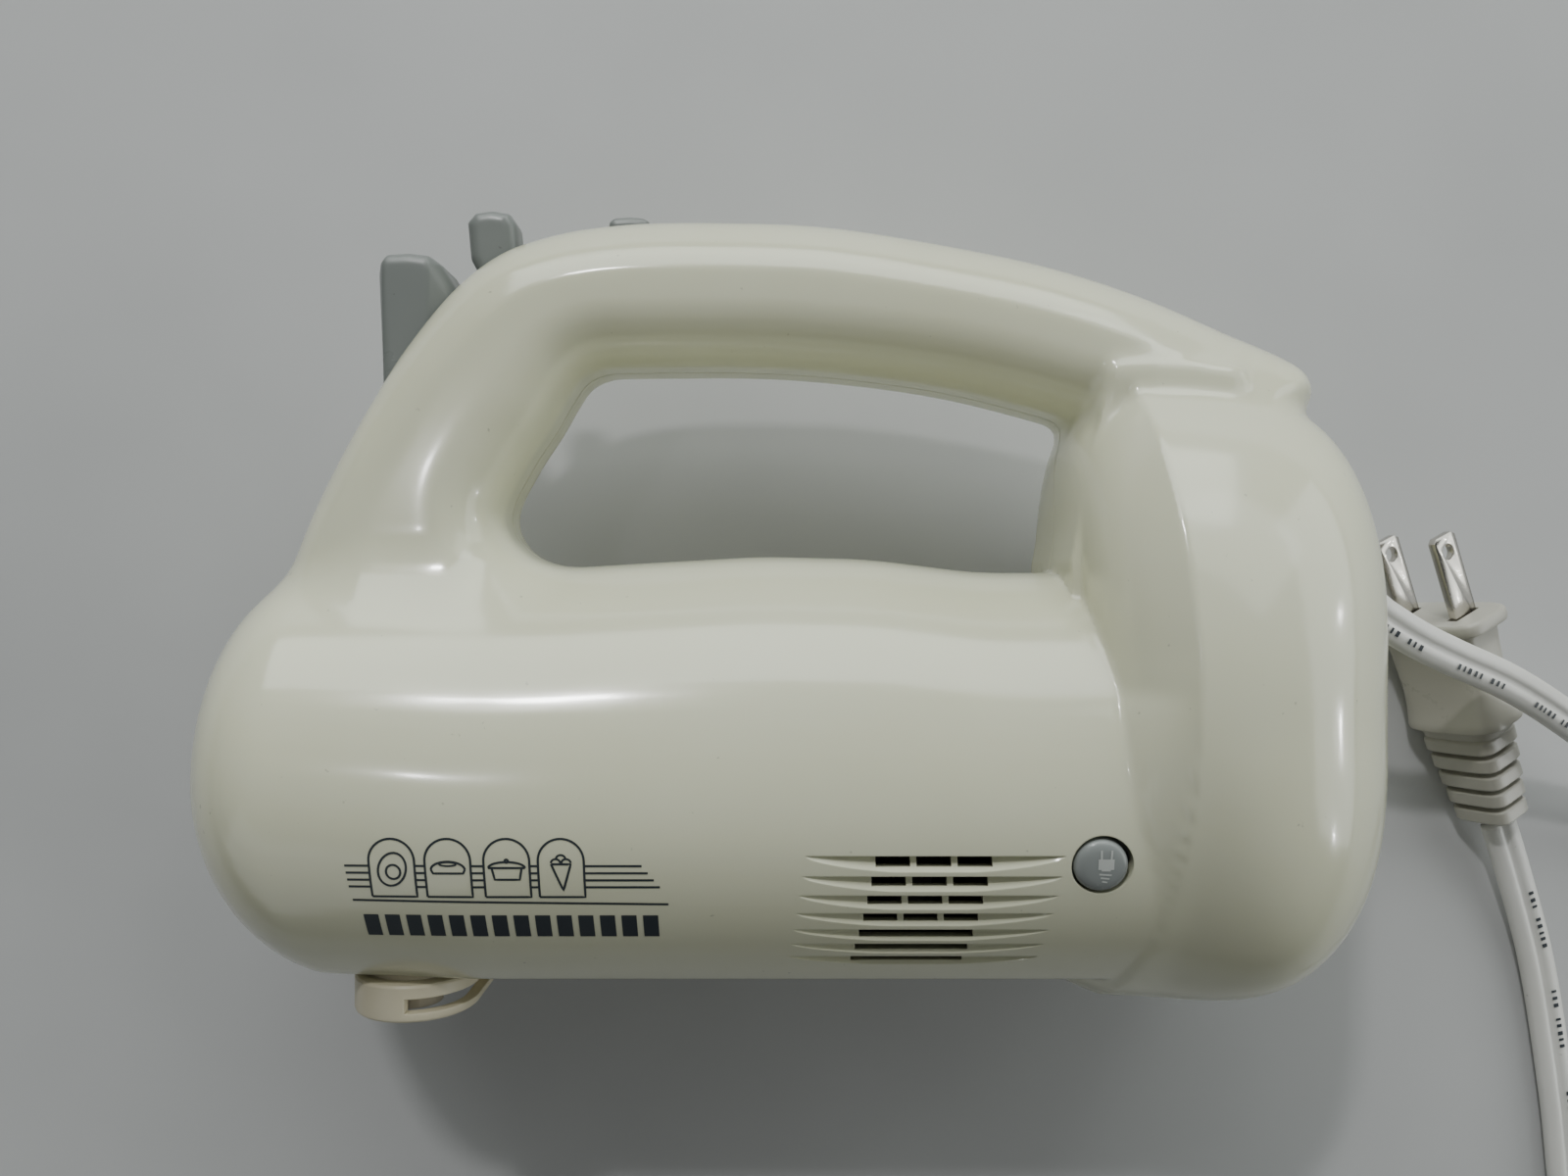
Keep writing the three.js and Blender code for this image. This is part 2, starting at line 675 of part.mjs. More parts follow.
function brakeLever() {
  // The arm dips between its tip and its pivot, so that the button's flange only presses the tip.
  const arm = prism("y", [[45.6, 33.4], [57.5, 32.8], [62.5, 33], [62.5, 31.4], [65, 31.4], [65, 35.6],
    [56, 36.2], [55, 35.6], [53.6, 34.6], [50, 34.8], [48.2, 35.3], [45.6, 35.3]].reverse(), -2.5, 2.5);
  return brakeFrame(arm.subtract(rod("y", [BRAKE_PIVOT, 34.4], 1.3, -6, 6, 12)));
}

function brakePin() {
  return brakeFrame(rod("y", [BRAKE_PIVOT, 34.4], 1.2, -4, 4, 12));
}

function cordButton() {
  return buttonFrame(turned("z", [0, 0], [[0, 30.8], [5.5, 30.8], [5.5, 31.8], [4.4, 31.8],
    [4.4, 35], [3.2, 35.7], [0, 36]], 20));
}

function grommet() {
  const g = turned("x", [-1.5, 0], [[0, 95.4], [7.4, 95.4], [7.4, 97.6], [4.9, 97.6], [4.9, 103.2],
    [0, 103.2]], 20);
  return g.subtract(box(90, 110, -5.6, 2.6, -2.5, 2.3));
}

// ---------- cord and plug ----------
const CORD_ROUTE = [[96.5, -1.5, 0], [103.6, -1.6, 0], [110, -5.4, -2.2], [118, -9.6, -5],
  [126, -12.9, -8], [140, -18.3, -13], [156, -26.3, -20], [178, -40, -28.5], [203, -62, -35.5],
  [224, -94, -38.8], [230, -130, -38.8], [219, -164, -38.8], [197, -180, -38.8],
  [177, -166, -38.8], [169.5, -138, -38.8], [166, -108, -38.8], [161.4, -80, -38.4],
  [155.6, -61, -36.8], [151.3, -49.4, -35.3]];
const BLADE_Y = 6.35; // blades stand this far either side of the plug's axis
const PLUG_AT = [134, -5.4, -28.4];
const PLUG_YAW = -69.5; // degrees from +X to the way the cord leaves the plug, seen from above
const PLUG_PITCH = 8; // degrees its cord end dips to the floor
const PLUG_ROLL = 67; // degrees from the blades' line lying level

function freeCord() {
  const path = new THREE.CatmullRomCurve3(CORD_ROUTE.map((p) => new THREE.Vector3(...p)), false,
    "centripetal");
  const shape = new THREE.Shape(circle(0, 0, 1, 8).map(([x, y]) => new THREE.Vector2(1.9 * x, 3.6 * y)));
  const g = new THREE.ExtrudeGeometry(shape, { steps: 44, bevelEnabled: false, extrudePath: path });
  const made = solid(g);
  return made.volume() > 0 ? made : solid(flip(g));
}

function plugFrame(s) {
  return s.rotate([PLUG_ROLL, PLUG_PITCH, PLUG_YAW]).translate(PLUG_AT);
}

function plugBody() {
  const outline = [[0, 12.2, 12.2], [2.9, 12.2, 12.2], [3.3, 10.4, 10.6], [12, 9.8, 9.8], [20, 9, 9],
    [26, 8.2, 8.2]];
  const rings = outline.map(([x, a, b]) => circle(0, 0, 1, 20).map(
    ([c, s]) => new THREE.Vector3(x, a * c, b * s)));
  let body = loft(rings);
  for (const y of [-BLADE_Y, BLADE_Y]) {
    body = body.subtract(box(-1, 6, y - 1.1, y + 1.1, -3.6, 3.6));
  }
  return plugFrame(body);
}

function plugBlade(side) {
  const y = side * BLADE_Y;
  const blade = box(-17, 5.6, y - 0.75, y + 0.75, -3.15, 3.15);
  return plugFrame(blade.subtract(rod("y", [-13.5, 0], 1.6, y - 3, y + 3, 12)));
}

function strainRelief() {
  const profile = [[0, 26.2]];
  for (let k = 0; k < 5; k++) {
    const x = 26.2 + 4.1 * k;
    const r = 8.2 - 0.5 * k;
    profile.push([r, x], [r - 0.2, x + 2.9]);
    if (k < 4) profile.push([r - 1.8, x + 2.9], [r - 1.8, x + 4.1]);
  }
  profile.push([0, 45.5]);
  return plugFrame(turned("x", [0, 0], profile, 14));
}

function screw([x, y]) {
  const s = turned("z", [x, y], [[0, -10.2], [2.7, -10.2], [2.7, -8.2], [1.3, -8.2], [1.3, 6.5], [0, 7.5]], 12);
  return s.subtract(box(x - 2, x + 2, y - 0.35, y + 0.35, -11, -9.5));
}

// ---------- assembly ----------
const root = new THREE.Group();

function add(name, made, material) {
  const m = made.getMesh();
  const v = new Float32Array(m.numVert * 3);
  for (let i = 0; i < m.numVert; i++) {
    v.set(m.vertProperties.subarray(i * m.numProp, i * m.numProp + 3), i * 3);
  }
  const g = new THREE.BufferGeometry().setAttribute("position", new THREE.BufferAttribute(v, 3));
  g.setIndex(new THREE.BufferAttribute(m.triVerts, 1));
  g.translate(PLACE.x, PLACE.y, PLACE.z);
  const mesh = new THREE.Mesh(toCreasedNormals(g, Math.PI / 5), material);
  mesh.name = name;
  root.add(mesh);
}

add("left_housing", housing(1), IVORY);
add("right_housing", housing(-1), IVORY);
add("nose_grille", noseGrille(), IVORY);
add("beater_collar", beaterCollar(), COLLAR);
add("eject_button", ejectButton(), GREY);
add("eject_fork", ejectFork(), NATURAL);
add("eject_spring", coil("y", [-69.6, 0], 4.4, 0.45, 1.6, 19.4, 5), STEEL);
add("speed_lever", speedLever(), GREY);
add("lever_pin", leverPin(), STEEL);
add("turbo_button", turboButton(), GREY);
add("turbo_spring", coil("y", [-27.8, 0], 1.9, 0.35, 48.2, 57.2, 4), STEEL);
add("switch_block", switchBlock(), BLACK);
add("circuit_board", box(-6, 36, 44.5, 46.1, -10.5, 10.5), BOARD);
add("suppressor_capacitor", box(2, 16, 46.5, 55, -4.5, 4.5), FILM);
add("speed_resistor", rod("x", [50, 0], 3, 21, 33, 12), NATURAL);
add("left_spindle", spindle(1), NATURAL);
add("right_spindle", spindle(-1), NATURAL);
add("gear_carrier", gearCarrier(), NATURAL);
add("gear_cover", gearCover(), NATURAL);
add("armature_shaft", armatureShaft(), STEEL);
add("armature_core", armatureCore(), STEEL);
add("armature_winding_front", armatureWinding(-42.6, -36.3), COPPER);
add("armature_winding_rear", armatureWinding(-7.7, -1.6), COPPER);
add("commutator", commutator(), COPPER);
add("cooling_fan", fan(), NATURAL);
add("stator_core", statorCore(), STEEL);
add("upper_field_coil", fieldCoil(1), COPPER);
add("lower_field_coil", fieldCoil(-1), COPPER);
add("front_bracket", bracket(-50, -47), STEEL);
add("rear_bracket", bracket(10, 12.8), STEEL);
add("front_bearing", ring("x", [AXIS_Y, 0], 2.58, 6, -50.5, -45.5, 20), BRASS);
add("rear_bearing", ring("x", [AXIS_Y, 0], 2.58, 6, 9.6, 14.6, 20), BRASS);
for (const [side, word] of [[1, "left"], [-1, "right"]]) {
  const span = (a, b) => [side * a, side * b].sort((p, q) => p - q);
  const holder = box(0, 7, AXIS_Y - 4, AXIS_Y + 4, ...span(8.2, 22))
    .subtract(box(1.2, 5.8, AXIS_Y - 2.8, AXIS_Y + 2.8, ...span(8, 23)));
  add(word + "_brush_holder", holder, BRASS);
  add(word + "_carbon_brush", box(1.4, 5.6, AXIS_Y - 2.6, AXIS_Y + 2.6, ...span(6.9, 18)), CARBON);
}
add("reel_frame", reelFrame(), BLACK);
add("reel_axle", rod("x", [REEL_Y, 0], 2.9, 56, 91, 20), STEEL);
add("reel_drum", reelDrum(), BLACK);
add("mainspring", mainspring(), STEEL);
add("outer_slip_ring", ring("x", [REEL_Y, 0], 15, 17.5, 61.4, 62.3, 24), BRASS);
add("inner_slip_ring", ring("x", [REEL_Y, 0], 8.5, 11, 61.4, 62.3, 24), BRASS);
add("wound_cord", turned("x", [REEL_Y, 0], [[11.9, 64.6], [28, 64.6], [28, 79.8], [11.9, 79.8]], 32), WHITE);
add("contact_block", box(59.5, 61.1, REEL_Y - 18.5, REEL_Y - 7, -3.5, 3.5), BRASS);
add("brake_lever", brakeLever(), NATURAL);
add("brake_pin", brakePin(), STEEL);
add("cord_button", cordButton(), GREY);
add("cord_grommet", grommet(), GREY);
add("free_cord", freeCord(), WHITE);
add("plug_body", plugBody(), WHITE);
add("upper_plug_blade", plugBlade(1), NICKEL);
add("lower_plug_blade", plugBlade(-1), NICKEL);
add("strain_relief", strainRelief(), WHITE);
SCREWS.forEach((at, i) => add("housing_screw_" + (i + 1), screw(at), STEEL));

export default root;
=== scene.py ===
import math

import bmesh
import bpy
import numpy as np
from mathutils import Matrix, Vector


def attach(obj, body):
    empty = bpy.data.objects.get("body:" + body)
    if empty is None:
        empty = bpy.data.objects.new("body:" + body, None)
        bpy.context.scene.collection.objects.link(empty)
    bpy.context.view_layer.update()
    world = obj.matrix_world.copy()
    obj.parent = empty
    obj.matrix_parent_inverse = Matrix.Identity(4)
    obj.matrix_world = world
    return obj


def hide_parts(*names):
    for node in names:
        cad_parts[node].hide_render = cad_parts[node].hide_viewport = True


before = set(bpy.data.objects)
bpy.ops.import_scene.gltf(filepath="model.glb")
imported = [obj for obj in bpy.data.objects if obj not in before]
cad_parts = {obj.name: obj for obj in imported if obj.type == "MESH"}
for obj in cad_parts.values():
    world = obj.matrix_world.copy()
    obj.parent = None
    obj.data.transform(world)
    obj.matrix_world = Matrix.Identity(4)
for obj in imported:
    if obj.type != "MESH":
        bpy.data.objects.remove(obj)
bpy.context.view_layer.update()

# Lengths below are millimetres in the part's design datum: X runs from nose to heel, Y from the
# underside to the handle, and Z = 0 is the plane between the housing halves. PLACE moves the datum
# to the shared frame.
PLACE = np.array([-1.35, 2.15, 41.0])
MM = 0.001


def to_frame(points):
    return (np.asarray(points, float).reshape(-1, 3) + PLACE) * MM


def spot(x, y, z):
    return Vector(to_frame([x, y, z])[0])


# ---------- camera ----------
CAMERA_HEIGHT = 214.0
camera = bpy.data.objects.new("camera", bpy.data.cameras.new("camera"))
bpy.context.scene.collection.objects.link(camera)
camera.data.lens = 27
camera.data.sensor_width = 36
camera.data.clip_start = 0.01
camera.data.clip_end = 10
camera.location = spot(0, 0, CAMERA_HEIGHT)
camera.rotation_euler = (0, 0, 0)
bpy.context.scene.camera = camera


# ---------- meshes ----------
def part(name, verts, faces, smooth=True):
    """A mesh object made from vertices in the design datum."""
    mesh = bpy.data.meshes.new(name)
    mesh.from_pydata([tuple(v) for v in to_frame(verts)], [], [tuple(f) for f in faces])
    mesh.validate()
    for p in mesh.polygons:
        p.use_smooth = smooth
    made = bpy.data.objects.new(name, mesh)
    bpy.context.scene.collection.objects.link(made)
    return made


def outward(obj):
    """Turns every face of a closed mesh to point out."""
    bm = bmesh.new()
    bm.from_mesh(obj.data)
    bmesh.ops.recalc_face_normals(bm, faces=bm.faces)
    if bm.calc_volume(signed=True) < 0:
        bmesh.ops.reverse_faces(bm, faces=bm.faces)
    bm.to_mesh(obj.data)
    bm.free()
    return obj


def apply_modifiers(obj):
    graph = bpy.context.evaluated_depsgraph_get()
    mesh = bpy.data.meshes.new_from_object(obj.evaluated_get(graph))
    old = obj.data
    obj.modifiers.clear()
    obj.data = mesh
    mesh.name = obj.name
    bpy.data.meshes.remove(old)
    return obj


def boolean(obj, other, operation="DIFFERENCE"):
    """Cuts, joins or intersects obj with other, and deletes other."""
    m = obj.modifiers.new("boolean", "BOOLEAN")
    m.operation = operation
    m.solver = "MANIFOLD"
    m.object = other
    apply_modifiers(obj)
    bpy.data.objects.remove(other)
    return obj


def bevel(obj, width):
    """Rounds the sharp edges a little."""
    m = obj.modifiers.new("bevel", "BEVEL")
    m.width = width * MM
    m.segments = 2
    m.limit_method = "ANGLE"
    m.angle_limit = math.radians(35)
    return apply_modifiers(obj)


TIP_R = 0.02  # radius left at the middle of a turned or domed end, so that its cap has an area


def crease_smooth(obj, angle=35):
    """Smooth faces, with edges steeper than the angle kept sharp."""
    for p in obj.data.polygons:
        p.use_smooth = True
    obj.data.set_sharp_from_angle(angle=math.radians(angle))
    return obj


def box(x0, x1, y0, y1, z0, z1):
    v = [(x, y, z) for x in (x0, x1) for y in (y0, y1) for z in (z0, z1)]
    f = [(0, 1, 3, 2), (4, 6, 7, 5), (0, 4, 5, 1), (2, 3, 7, 6), (0, 2, 6, 4), (1, 5, 7, 3)]
    return outward(part("box", v, f, False))


def loft(rings, name="loft"):
    """A capped skin over rings of equally many points, each [x, y, z]."""
    n = len(rings[0])
    verts = [p for r in rings for p in r]
    faces = []
    for i in range(len(rings) - 1):
        for j in range(n):
            k = (j + 1) % n
            faces.append((i * n + j, i * n + k, (i + 1) * n + k, (i + 1) * n + j))
    faces.append(tuple(range(n))[::-1])
    last = (len(rings) - 1) * n
    faces.append(tuple(last + j for j in range(n)))
    return outward(part(name, verts, faces))


# Places a section's two coordinates and its station along each axis.
AXIS = {
    "x": lambda u, v, w: (w, u, v),
    "y": lambda u, v, w: (u, w, v),
    "z": lambda u, v, w: (u, v, w),
}


def prism(axis, outline, a, b, name="prism"):
    """An outline drawn out along an axis from station a to station b."""
    return loft([[AXIS[axis](u, v, w) for u, v in outline] for w in (a, b)], name)


def circle(cx, cy, r, sides=64, start=0.0, stop=2 * math.pi, closed=True):
    count = sides if closed else sides + 1
    angles = [start + (stop - start) * k / sides for k in range(count)]
    return [(cx + r * math.cos(a), cy + r * math.sin(a)) for a in angles]


def rod(axis, centre, r, a, b, sides=64):
    return prism(axis, circle(*centre, r, sides), a, b)


def turned(centre, profile, name, sides=96):
    """A body of revolution round a line along Z. Profile points are (radius, Z)."""
    rings = []
    for r, z in profile:
        rings.append([(x, y, z) for x, y in circle(*centre, max(r, TIP_R), sides)])
    return loft(rings, name)


def stadium(cx, half, r, sides=24):
    """A slot's outline: round ends of radius r, reaching to half on each side."""
    top = circle(cx, half - r, r, sides, 0, math.pi, False)
    low = circle(cx, r - half, r, sides, math.pi, 2 * math.pi, False)
    return top + low


def moved(obj, matrix):
    """Turns the mesh by a matrix given in the design datum."""
    to = Matrix.Translation(Vector(PLACE * MM))
    obj.data.transform(to @ matrix @ to.inverted())
    return obj


def catmull(points, step):
    """A centripetal Catmull-Rom curve through the points, sampled about every step."""
    p = np.asarray(points, float)
    p = np.vstack([2 * p[0] - p[1], p, 2 * p[-1] - p[-2]])
    out = []
    for i in range(1, len(p) - 2):
        t = [0.0]
        for j in range(3):
            t.append(t[-1] + max(np.linalg.norm(p[i + j] - p[i + j - 1]), 1e-6) ** 0.5)
        n = max(2, int(round(np.linalg.norm(p[i + 1] - p[i]) / step)))
        for s in np.linspace(t[1], t[2], n, endpoint=False):
            a = [
                ((t[j + 1] - s) * p[i + j - 1] + (s - t[j]) * p[i + j]) / (t[j + 1] - t[j])
                for j in range(3)
            ]
            b = [
                ((t[j + 2] - s) * a[j] + (s - t[j]) * a[j + 1]) / (t[j + 2] - t[j])
                for j in range(2)
            ]
            out.append(((t[2] - s) * b[0] + (s - t[1]) * b[1]) / (t[2] - t[1]))
    out.append(p[-2])
    return np.array(out)


# ---------- materials ----------
def shader(name, colour, roughness, metallic=0.0):
    """A material with its Principled shader. Returns (material, nodes, links, shader)."""
    m = bpy.data.materials.new(name)
    m.use_nodes = True
    nodes, links = m.node_tree.nodes, m.node_tree.links
    bsdf = nodes["Principled BSDF"]
    bsdf.inputs["Base Color"].default_value = (*colour, 1)
    bsdf.inputs["Roughness"].default_value = roughness
    bsdf.inputs["Metallic"].default_value = metallic
    return m, nodes, links, bsdf


def noise(nodes, links, scale, detail=3.0, rough=0.55, stretch=(1, 1, 1)):
    """A cloudy value from 0 to 1, fixed to the object."""
    where = nodes.new("ShaderNodeTexCoord")
    mapping = nodes.new("ShaderNodeMapping")
    mapping.inputs["Scale"].default_value = stretch
    links.new(where.outputs["Object"], mapping.inputs["Vector"])
    n = nodes.new("ShaderNodeTexNoise")
    n.inputs["Scale"].default_value = scale
    n.inputs["Detail"].default_value = detail
    n.inputs["Roughness"].default_value = rough
    links.new(mapping.outputs["Vector"], n.inputs["Vector"])
    return n.outputs["Fac"]


def remap(nodes, links, value, low, high, to_low, to_high):
    """A value read from the range low to high into another range, held at its ends."""
    r = nodes.new("ShaderNodeMapRange")
    r.inputs["From Min"].default_value = low
    r.inputs["From Max"].default_value = high
    r.inputs["To Min"].default_value = to_low
    r.inputs["To Max"].default_value = to_high
    links.new(value, r.inputs["Value"])
    return r.outputs["Result"]


def mix(nodes, links, factor, a, b):
    """A colour mix. Each of a and b is a socket or a colour."""
    m = nodes.new("ShaderNodeMix")
    m.data_type = "RGBA"
    links.new(factor, m.inputs["Factor"])
    for key, value in (("A", a), ("B", b)):
        sockets = [s for s in m.inputs if s.name == key and s.type == "RGBA"]
        if isinstance(value, bpy.types.NodeSocket):
            links.new(value, sockets[0])
        else:
            sockets[0].default_value = (*value, 1)
    return [s for s in m.outputs if s.type == "RGBA"][0]


def bump(nodes, links, bsdf, height, strength, distance, soft_edge=0.0):
    """Fine relief, over edges shaded as if rounded by soft_edge metres."""
    b = nodes.new("ShaderNodeBump")
    b.inputs["Strength"].default_value = strength
    b.inputs["Distance"].default_value = distance
    links.new(height, b.inputs["Height"])
    if soft_edge:
        e = nodes.new("ShaderNodeBevel")
        e.samples = 4
        e.inputs["Radius"].default_value = soft_edge
        links.new(e.outputs["Normal"], b.inputs["Normal"])
    links.new(b.outputs["Normal"], bsdf.inputs["Normal"])


GRIME = 0.45  # brightness of a grime speck against the aged plastic
COAT_ROUGHNESS = 0.08


def plastic(name, colour, aged, roughness, grain=0.05, edge=0.0003, specks=True, coat=0.0):
    """Moulded plastic: cloudy ageing, faint grime specks, uneven gloss and a fine moulded skin."""
    m, nodes, links, bsdf = shader(name, colour, roughness)
    clouds = remap(nodes, links, noise(nodes, links, 22, 4), 0.3, 0.75, 0.0, 1.0)
    tone = mix(nodes, links, clouds, colour, aged)
    if specks:
        dots = noise(nodes, links, 520, 2, 0.6)
        dirty = remap(nodes, links, dots, 0.74, 0.79, 0.0, 0.5)
        tone = mix(nodes, links, dirty, tone, tuple(GRIME * c for c in aged))
    links.new(tone, bsdf.inputs["Base Color"])
    smear = noise(nodes, links, 60, 5, 0.7)
    gloss = remap(nodes, links, smear, 0.3, 0.8, roughness * 0.85, roughness * 1.3)
    links.new(gloss, bsdf.inputs["Roughness"])
    bsdf.inputs["IOR"].default_value = 1.5
    if coat:
        bsdf.inputs["Coat Weight"].default_value = coat
        bsdf.inputs["Coat Roughness"].default_value = COAT_ROUGHNESS
    bump(nodes, links, bsdf, noise(nodes, links, 900, 3), grain, 0.0001, edge)
    return m


def metal(name, colour, roughness, stretch=(1, 1, 1), dull=0.5):
    """Metal with a brushed or rolled grain and dulled patches."""
    m, nodes, links, bsdf = shader(name, colour, roughness, 1.0)
    patches = remap(nodes, links, noise(nodes, links, 90, 4), 0.35, 0.75, 0.0, 1.0)
    tone = mix(nodes, links, patches, colour, tuple(dull * c for c in colour))
    links.new(tone, bsdf.inputs["Base Color"])
    brushed = noise(nodes, links, 700, 3, 0.6, stretch)
    gloss = remap(nodes, links, brushed, 0.3, 0.7, roughness * 0.7, roughness * 1.4)
    links.new(gloss, bsdf.inputs["Roughness"])
    bump(nodes, links, bsdf, brushed, 0.12, 0.00005, 0.0002)
    return m


def wound(name, colour):
    """Enamelled wire wound in close turns: fine ridges with a varnish gloss."""
    m, nodes, links, bsdf = shader(name, colour, 0.35, 0.6)
    where = nodes.new("ShaderNodeTexCoord")
    wave = nodes.new("ShaderNodeTexWave")
    wave.inputs["Scale"].default_value = 500
    wave.inputs["Distortion"].default_value = 1.5
    links.new(where.outputs["Object"], wave.inputs["Vector"])
    tone = mix(nodes, links, wave.outputs["Fac"], tuple(0.5 * c for c in colour), colour)
    links.new(tone, bsdf.inputs["Base Color"])
    bump(nodes, links, bsdf, wave.outputs["Fac"], 0.5, 0.0002)
    return m


IVORY = plastic("ivory_gloss", (0.72, 0.725, 0.56), (0.69, 0.69, 0.51), 0.16, 0.03, coat=0.4)
glow = IVORY.node_tree.nodes["Principled BSDF"].inputs
glow["Subsurface Weight"].default_value = 0.06
glow["Subsurface Radius"].default_value = (0.0012, 0.001, 0.0006)
# Near-black plastic for the housing's inner wall: painted shade, so that the vents and openings
# look dark inside.
INNER_WALL_SHADE = plastic("painted_shade_inner_wall", (0.12, 0.105, 0.08), (0.06, 0.052, 0.042), 0.6, 0.2)
CREAM = plastic("cream_plastic", (0.74, 0.70, 0.545), (0.68, 0.62, 0.45), 0.36, 0.08)
GREY = plastic("grey_control_plastic", (0.20, 0.215, 0.205), (0.165, 0.18, 0.172), 0.3, 0.08)
BUTTON_GREY = plastic("grey_button_plastic", (0.29, 0.31, 0.305), (0.24, 0.26, 0.255), 0.25, 0.05)
NYLON = plastic("natural_nylon", (0.50, 0.46, 0.38), (0.40, 0.36, 0.28), 0.5, 0.15)
BLACK = plastic("black_plastic", (0.022, 0.023, 0.025), (0.035, 0.035, 0.036), 0.5, 0.15)
# Near-black brown plastic for the cooling fan.
DARK_NYLON = plastic("dark_fan_plastic", (0.12, 0.10, 0.085), (0.055, 0.045, 0.04), 0.6, 0.2)
WHITE = plastic("white_vinyl", (0.74, 0.735, 0.71), (0.66, 0.65, 0.61), 0.34, 0.12, 0.0004)
CARBON = plastic("carbon_brush", (0.02, 0.02, 0.02), (0.04, 0.04, 0.04), 0.7, 0.4)
BOARD = plastic("phenolic_board", (0.26, 0.15, 0.06), (0.18, 0.10, 0.04), 0.55, 0.2)
FILM = plastic("film_capacitor", (0.33, 0.06, 0.035), (0.25, 0.045, 0.03), 0.35, 0.1)
# The plug's white vinyl is given much darker than the cord's: painted shade.
SHADED_PLUG_VINYL = plastic("plug_vinyl_painted_shade", (0.47, 0.46, 0.41), (0.41, 0.395, 0.345), 0.3, 0.12, 0.0004)
STEEL = metal("mild_steel", (0.50, 0.50, 0.49), 0.34)
LAMINATED = metal("laminated_steel", (0.34, 0.34, 0.34), 0.45, (40, 1, 1))
NICKEL = metal("plated_blade", (0.66, 0.63, 0.58), 0.2, (1, 12, 1), 0.75)
BRASS = metal("brass", (0.62, 0.45, 0.2), 0.3)
COPPER = metal("bare_copper", (0.72, 0.36, 0.2), 0.3)
WINDING = wound("enamelled_winding", (0.42, 0.14, 0.05))
PRINT = plastic("slate_print", (0.022, 0.03, 0.04), (0.04, 0.048, 0.055), 0.4, 0.1, 0, False)
FAINT = plastic("pale_raised_mark", (0.56, 0.58, 0.56), (0.5, 0.52, 0.5), 0.35, 0.1, 0, False)


def finish_piece(obj, material, body="mixer_frame", replaces=()):
    """Gives a piece its material, its body and the CAD nodes it stands for."""
    obj.data.materials.clear()
    obj.data.materials.append(material)
    for p in obj.data.polygons:
        p.material_index = 0
    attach(obj, body)
    if replaces:
        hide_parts(*replaces)
    return obj


# ---------- cord ----------
CORD_ROUTE = [
    [96.5, -1.5, 0], [103.6, -1.6, 0], [110, -5.4, -2.2], [118, -9.6, -5],
    [126, -12.9, -8], [140, -18.3, -13], [156, -26.3, -20], [178, -40, -28.5],
    [203, -62, -35.5], [224, -94, -38.8], [230, -130, -38.8], [219, -164, -38.8],
    [197, -180, -38.8], [177, -166, -38.8], [169.5, -138, -38.8], [166, -108, -38.8],
    [161.4, -80, -38.4], [155.6, -61, -36.8], [151.3, -49.4, -35.3],
]
CORD_WIDTH = 7.2
CORD_THICK = 3.8


def cord_frames(line):
    """Sideways and upward directions along a line that never stands straight up."""
    t = np.gradient(line, axis=0)
    t /= np.linalg.norm(t, axis=1)[:, None]
    side = np.cross(t, [0.0, 0.0, 1.0])
    side /= np.linalg.norm(side, axis=1)[:, None]
    return side, np.cross(side, t)


def twin_section(count=36):
    """The cord's figure-of-eight section: two insulated wires with a groove between them."""
    out = []
    for k in range(count):
        a = 2 * math.pi * k / count
        u, v = math.cos(a), math.sin(a)
        waist = 1 - 0.34 * math.exp(-((u * CORD_WIDTH / 2) ** 2) / 0.5)
        full = abs(v) ** 0.72 * math.copysign(1, v)
        out.append((u * CORD_WIDTH / 2, full * waist * CORD_THICK / 2))
    return out


cord_line = catmull(CORD_ROUTE, 1.2)
sideways, upward = cord_frames(cord_line)
cord_rings = [
    [cord_line[i] + sideways[i] * u + upward[i] * v for u, v in twin_section()]
    for i in range(len(cord_line))
]
free_cord = loft(cord_rings, "flat_mains_cord")


DASHES = (0.5, 0.8, 0.65)
GAPS = (0.8, 0.7, 0.9, 0.8, 2.4, 0.8, 0.9, 9.5)
MARGIN = 12.0


def cord_marks():
    """Short dark dashes in groups along the top of the cord, in place of its printed rating."""
    verts, faces = [], []
    run = np.concatenate([[0], np.cumsum(np.linalg.norm(np.diff(cord_line, axis=0), axis=1))])
    start, step = MARGIN, 0
    while start < run[-1] - MARGIN:
        length = DASHES[step % 3]
        base = len(verts)
        for g in np.linspace(start, start + length, 3):
            middle = np.array([np.interp(g, run, cord_line[:, d]) for d in range(3)])
            i = min(int(np.searchsorted(run, g)), len(run) - 1)
            for u, crest in ((0.95, 0.965), (1.5, 0.955), (2.05, 0.91)):
                rise = crest * CORD_THICK / 2 + 0.08
                verts.append(middle + sideways[i] * u + upward[i] * rise)
        for a in (0, 1):
            for b in (0, 1):
                k = base + 3 * a + b
                faces.append((k, k + 1, k + 4, k + 3))
        start += length + GAPS[step % 8]
        step += 1
    return part("cord_marks", verts, faces)


marks = cord_marks()

# ---------- plug ----------
# The plug is built along X with its blades towards -X, then turned to lie on the floor.
BLADE_Y = 6.35
PLUG_TURN = (
    Matrix.Translation(Vector((134, -5.4, -28.4)) * MM)
    @ Matrix.Rotation(math.radians(-69.5), 4, "Z")
    @ Matrix.Rotation(math.radians(8), 4, "Y")
    @ Matrix.Rotation(math.radians(67), 4, "X")
)


def rounded_ring(x, a, b, power, count=96):
    """A ring across the plug's axis: half-sizes a along the blades' line and b across it."""
    ring = []
    for k in range(count):
        t = 2 * math.pi * (k + 0.5) / count
        c, d = math.cos(t), math.sin(t)
        r = (abs(c) ** power + abs(d) ** power) ** (-1 / power)
        ring.append((x, a * c * r, b * d * r))
    return ring


